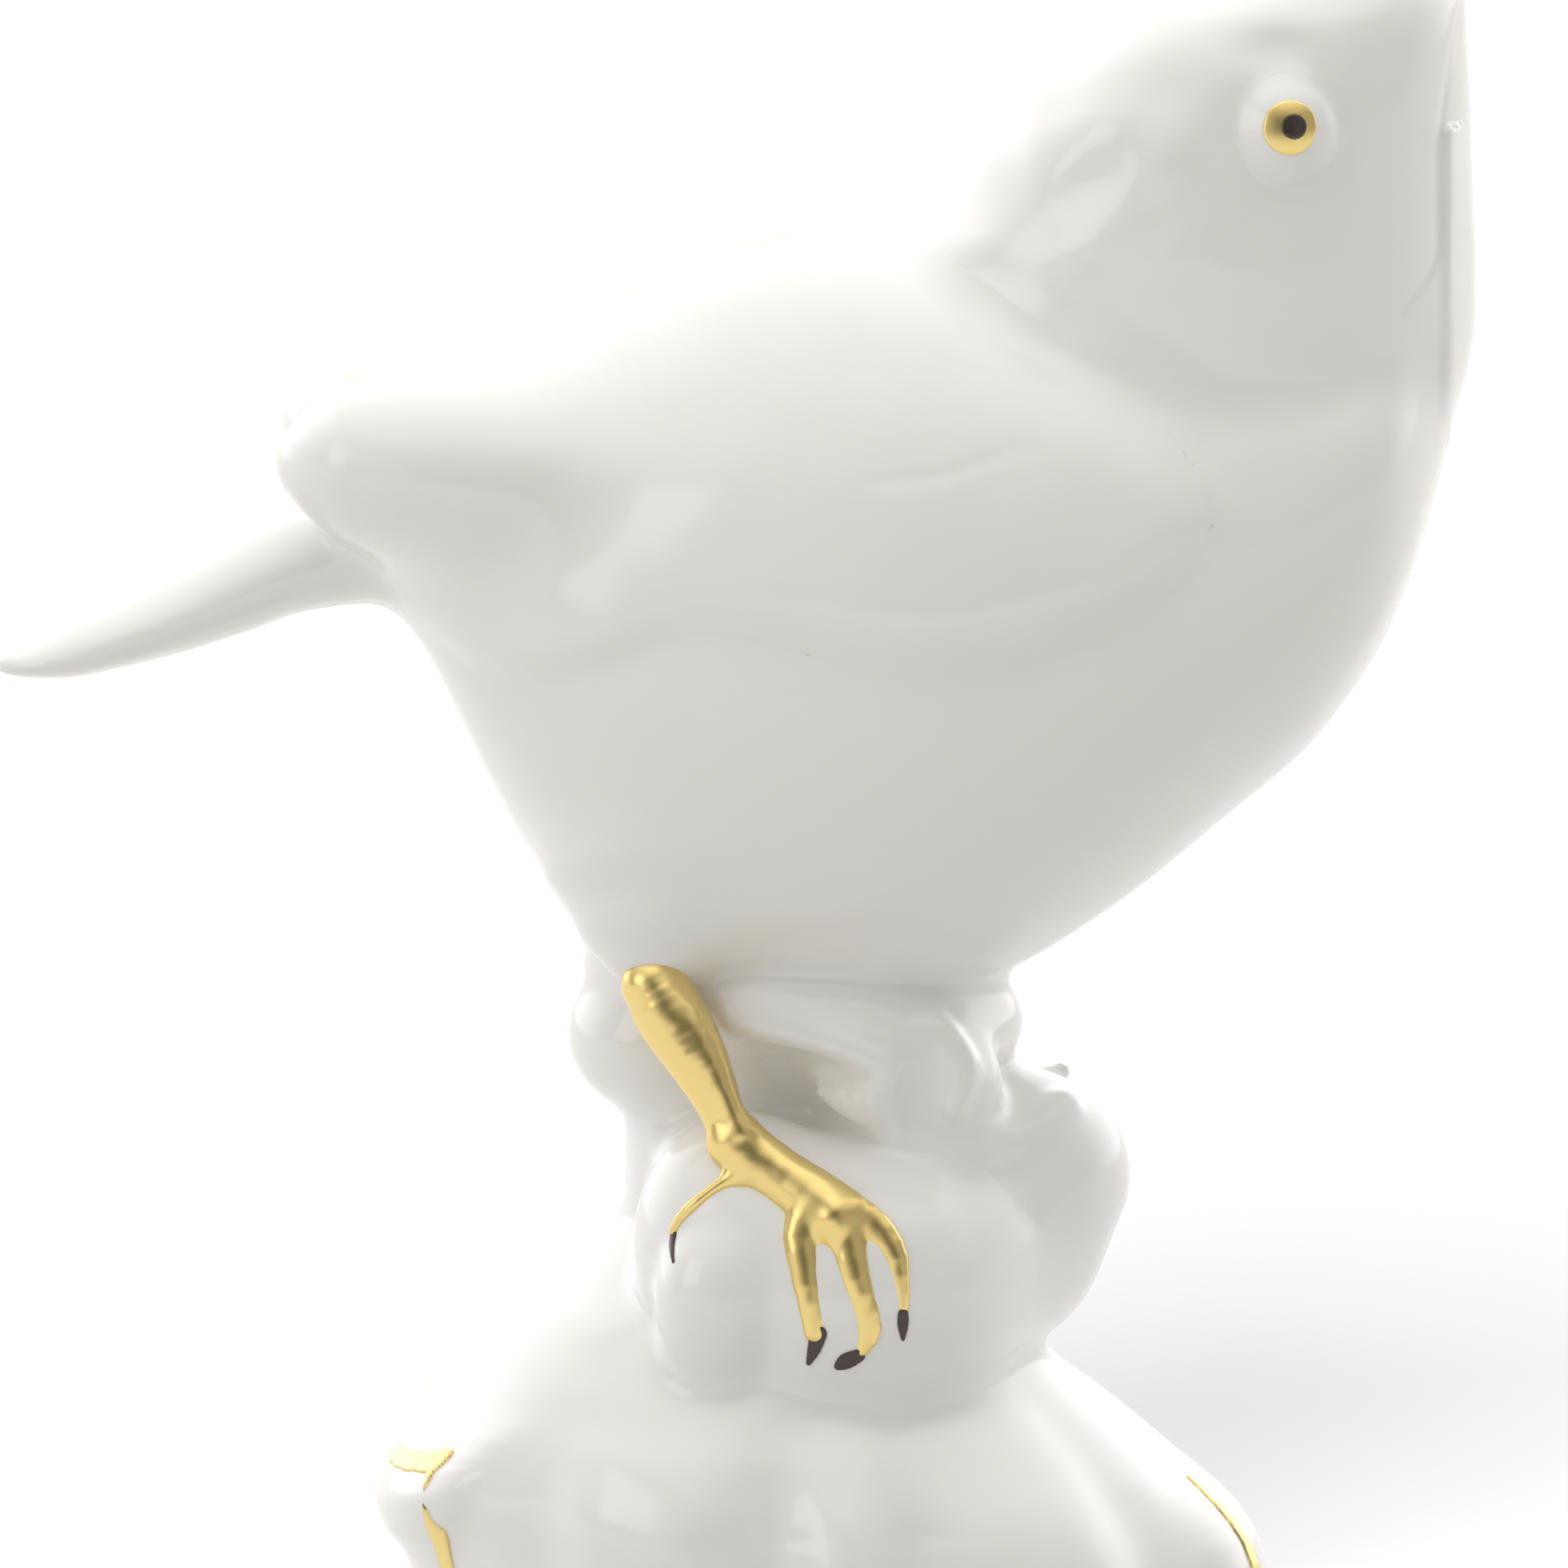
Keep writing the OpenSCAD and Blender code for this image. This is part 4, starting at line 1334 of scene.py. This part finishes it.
    def gold_shade_of(self) -> Distance:
        """How much painted shade and dark reflection darken the gold at a point of the right leg, from zero
        to one.
        """
        ankle = self.ankle
        lines = [np.array([(ankle[0] + a, ankle[2] + u, r) for a, u, r in line]) for line in self.BROWN]

        def measure(p: Array) -> Array:
            """Share of painted shade and dark reflection at each point."""
            out = np.zeros(len(p))
            for line in lines:
                rows = [(x, 0.0, z, r) for x, z, r in line]
                d = Strand(rows, 4).follow(p * np.array([1.0, 0.0, 1.0]))[0]
                out = np.maximum(out, np.clip(0.5 - d / 1.1, 0.0, 1.0) * (p[:, 1] < ankle[1] + 2.4))
            return out

        return measure

    def pieces(self) -> Iterable[tuple["Piece", "Finish"]]:
        """Every gilded or enamelled piece with its finish."""
        leg, shank = self.leg_form()
        claws = together([self.porcelain.film(Strand(self.on_rock(claw, 0.1), 3), 0.16,
                                              0.3) for claw in self.CLAWS], 0.05)
        for side in Side:
            flip = np.array([1.0, -side.value, 1.0])

            def grain(p: Array, flip: Array = flip) -> Array:
                """How far each point lies along the shank, and beside it."""
                return np.stack([shank.follow(p * flip)[1], p[:, 1], p[:, 0] + p[:, 2] * 0.3], axis=1)

            # The second mark carries the painted shade and dark reflection on the gold.
            marks = {"grain": grain, "brown": beside(self.gold_shade_of(), side)}
            yield self._gilded(f"{side.word}_leg", beside(leg, side), Grain.SMALL, marks), GOLD
            yield self._gilded(f"{side.word}_claws", beside(claws, side), Grain.TINY, {}), ENAMEL
            middle = self.bird.eye_middle * flip
            iris = self._disc(middle, (0.0, 0.0), self.iris_radius)
            pupil = self._disc(middle, (0.3, 0.1), self.pupil_radius)
            yield self._gilded(f"{side.word}_iris", self.porcelain.film(iris, 0.14), Grain.TINY,
                               {"grain": lambda p: p[:, [2, 0, 1]]}), GOLD
            yield self._gilded(f"{side.word}_pupil", self.porcelain.film(pupil, 0.24), Grain.TINY,
                               {}), ENAMEL
        for crest in self.base.CRESTS:
            line = Strand(crest.rim_line(self.porcelain), 4)
            wavy = self._wavy(line)
            yield self._gilded(f"{crest.word}_gilt_line", self.porcelain.film(wavy, 0.14), Grain.SMALL,
                               {"grain": lambda p,
                                line=line: np.stack([line.follow(p)[1], p[:, 1], p[:, 0]], axis=1)}), GOLD

    @staticmethod
    def _wavy(line: Distance) -> Distance:
        """Painted line whose width wavers with the brush."""
        return lambda p: line(p) + 0.12 * hand_made(p, 5.0)

    @staticmethod
    def _disc(middle: Array, shift: Sequence[float], radius: float) -> Distance:
        """Room of a round touch of paint on an eye."""

        def distance(p: Array) -> Array:
            """Distance to the touch of paint."""
            across = np.hypot(p[:, 0] - middle[0] - shift[0], p[:, 2] - middle[2] - shift[1])
            near = np.abs(p[:, 1] - middle[1] * 1.34) - 4.0
            return np.maximum(across - radius + 0.04 * hand_made(p, 2.6), near)

        return distance

    @staticmethod
    def _gilded(node: str, shape: Distance, grain: Grain,
                marks: dict[str, Callable[[Array], Array]]) -> "Piece":
        """Painted piece for a node."""
        return Piece(f"painted_{node}", node, shape, Box.of(node).grown(3.0), grain, marks)


def build_porcelain(porcelain: Porcelain, base: Base) -> None:
    """Meshes and glazes every white piece.

    Args:
        porcelain: The white figurine.
        base: Its base, whose mound is hollow.
    """

    def hollow(p: Array) -> Array:
        """How deep in a hollow each point lies, which the glaze shows as painted shade."""
        reach = 2.4
        n = slopes(porcelain.surface, p, 0.3)
        return np.clip(1.0 - porcelain.surface(p + n * reach) / reach, 0.0, 1.0)

    for node in porcelain.parts:
        shape = porcelain.piece(node)
        if node == "base_mound":
            solid = shape
            shape = lambda p: carve(solid(p), -base.cavity_form(p), 0.8)
        grain = Grain.FINE if node in ("bird_head", "upper_beak", "lower_beak", "right_eye",
                                       "left_eye") else Grain.BROAD
        Piece(f"glazed_{node}", node, shape, Box.of(node).grown(6.0), grain,
              {"hollow": hollow}).build(GLAZE)


class Studio:
    """Floor, lights, world and camera."""

    AIM = Vector((-0.0028, 0.0, 0.077))
    LIFT = 10.0
    REACH = 1.288
    LENS = 400.0
    FRONT = (0.13, 0.132, 0.13, 1.0)
    BACK = (2.1, 2.1, 2.1, 1.0)
    TOP = (1.62, 1.6, 1.55, 1.0)
    CARD = (0.04, 0.04, 0.04, 1.0)
    PANEL = (0.4, 0.4, 0.39, 1.0)
    PAPER = (0.52, 0.52, 0.52, 1.0)
    PAPER_BOUNCE = (0.4, 0.4, 0.39, 1.0)
    SUN = (-20.0, -150.0, 100.0)
    SUN_SPREAD = 20.0
    SUN_POWER = 3.0
    KEY_PLACE = (-0.75, -0.5, 0.42)
    KEY_SIZE = (0.5, 0.5)
    KEY_POWER = 1.3
    FLOOR_REACH = 12.0
    PAPER_GLOW = 0.1
    # Directions of the surroundings, from -1 to 1 across, in depth and in height.
    BEHIND = (-0.2, 0.65)
    ABOVE = (0.42, 1.0)
    CARD_HALF = (0.26, 0.34)
    CARD_HEIGHT = 0.2
    PANEL_MIDDLE = 0.65
    PANEL_HALF_SQUARED = 0.096
    PANEL_TOP = 0.55

    def floor(self) -> bpy.types.Object:
        """Wide pale floor.

        Returns:
            The floor.
        """
        mesh = bpy.data.meshes.new("floor")
        side = self.FLOOR_REACH
        mesh.from_pydata([(-side, -side, 0), (side, -side, 0), (side, side, 0), (-side, side, 0)], [],
                         [(0, 1, 2, 3)])
        plane = bpy.data.objects.new("floor", mesh)
        bpy.context.scene.collection.objects.link(plane)
        paint = bpy.data.materials.new("floor_paper")
        paint.use_nodes = True
        sheet = Sheet(paint.node_tree)
        bounce = sheet.node("ShaderNodeLightPath", {}, {}, "Is Diffuse Ray")
        colour = sheet.mix(bounce, self.PAPER, self.PAPER_BOUNCE)
        glow = sheet.mix(bounce, (1.0, 1.0, 1.0, 1.0), (0.0, 0.0, 0.0, 1.0))
        sheet.principled({"Base Color": colour, "Roughness": 0.9, "Specular IOR Level": 0.0,
                          "Emission Color": glow, "Emission Strength": self.PAPER_GLOW})
        mesh.materials.append(paint)
        return plane

    def lamp(self, name: str, place: Sequence[float], size: Sequence[float],
             power: float) -> bpy.types.Object:
        """Large soft light that faces the figurine.

        Args:
            name: Name of the light.
            place: Where it hangs, in metres.
            size: Its width and height.
            power: Its power in watts.

        Returns:
            The light.
        """
        data = bpy.data.lights.new(name, "AREA")
        data.shape = "RECTANGLE"
        data.size, data.size_y = size
        data.energy = power
        lamp = bpy.data.objects.new(name, data)
        lamp.location = place
        lamp.rotation_euler = (self.AIM - Vector(place)).to_track_quat("-Z", "Y").to_euler()
        bpy.context.scene.collection.objects.link(lamp)
        return lamp

    def floor_light(self, floor: bpy.types.Object) -> None:
        """Broad far light that reaches the floor alone and lays the soft shadow behind the base.

        Args:
            floor: The floor.
        """
        data = bpy.data.lights.new("floor_light", "SUN")
        data.angle = math.radians(self.SUN_SPREAD)
        data.energy = self.SUN_POWER
        sun = bpy.data.objects.new("floor_light", data)
        sun.rotation_euler = (-Vector(self.SUN)).to_track_quat("-Z", "Y").to_euler()
        bpy.context.scene.collection.objects.link(sun)
        lit = bpy.data.collections.new("lit_floor")
        lit.objects.link(floor)
        sun.light_linking.receiver_collection = lit

    def world(self) -> None:
        """White surroundings that are darker on the camera's side."""
        world = bpy.data.worlds.new("studio")
        bpy.context.scene.world = world
        world.use_nodes = True
        sheet = Sheet(world.node_tree)
        way = sheet.node("ShaderNodeTexCoord", {}, {}, "Generated")
        across, depth, height = (sheet.node("ShaderNodeSeparateXYZ", {}, {0: way}, axis) for axis in "XYZ")
        behind = sheet.span(depth, *self.BEHIND)
        around = sheet.mix(behind, self.FRONT, self.BACK)
        around = sheet.mix(sheet.span(height, *self.ABOVE), around, self.TOP)
        level = height - self.CARD_HEIGHT
        wide, tall = self.CARD_HALF
        card = (wide - (across * across) ** 0.5 > 0) * (tall - (level * level) ** 0.5 > 0)
        facing = 0.0 - depth > 0
        aside = (across * across) ** 0.5 - self.PANEL_MIDDLE
        panel = (self.PANEL_HALF_SQUARED - aside * aside > 0) * (height < self.PANEL_TOP)
        around = sheet.mix(panel * facing, around, self.PANEL)
        around = sheet.mix(card * facing, around, self.CARD)
        seen = sheet.node("ShaderNodeLightPath", {}, {}, "Is Camera Ray")
        colour = sheet.mix(seen, around, (1.0, 1.0, 1.0, 1.0))
        light = sheet.node("ShaderNodeBackground", {}, {"Color": colour, "Strength": 1.0})
        sheet.node("ShaderNodeOutputWorld", {}, {"Surface": light})

    def camera(self) -> None:
        """Camera a little above the bird, level with its side."""
        data = bpy.data.cameras.new("camera")
        data.lens = self.LENS
        data.sensor_width = 36.0
        camera = bpy.data.objects.new("camera", data)
        lift = math.radians(self.LIFT)
        camera.location = self.AIM + Vector((0, -math.cos(lift), math.sin(lift))) * self.REACH
        camera.rotation_euler = (math.radians(90 - self.LIFT), 0, 0)
        bpy.context.scene.collection.objects.link(camera)
        bpy.context.scene.camera = camera

    def build(self) -> None:
        """Sets up the whole studio."""
        floor = self.floor()
        self.world()
        self.lamp("key", self.KEY_PLACE, self.KEY_SIZE, self.KEY_POWER)
        self.floor_light(floor)
        self.camera()
        bpy.context.scene.view_settings.view_transform = "Standard"


def main() -> None:
    """Builds the figurine piece by piece, then the studio."""
    logging.basicConfig(level=logging.INFO, format="%(message)s")
    bird, rock, base = Bird(), Rock(), Base()
    porcelain = Porcelain()
    bird.add_to(porcelain)
    rock.add_to(porcelain)
    base.add_to(porcelain)
    build_porcelain(porcelain, base)
    ring = Piece("bisque_foot_ring", "foot_ring", base.ring_form, Box.of("foot_ring").grown(1.0),
                 Grain.FINE)
    ring.build(BISQUE)
    for piece, finish in Decoration(porcelain, bird, base).pieces():
        piece.build(finish)
    Studio().build()
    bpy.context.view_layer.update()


if __name__ == "__main__":
    main()
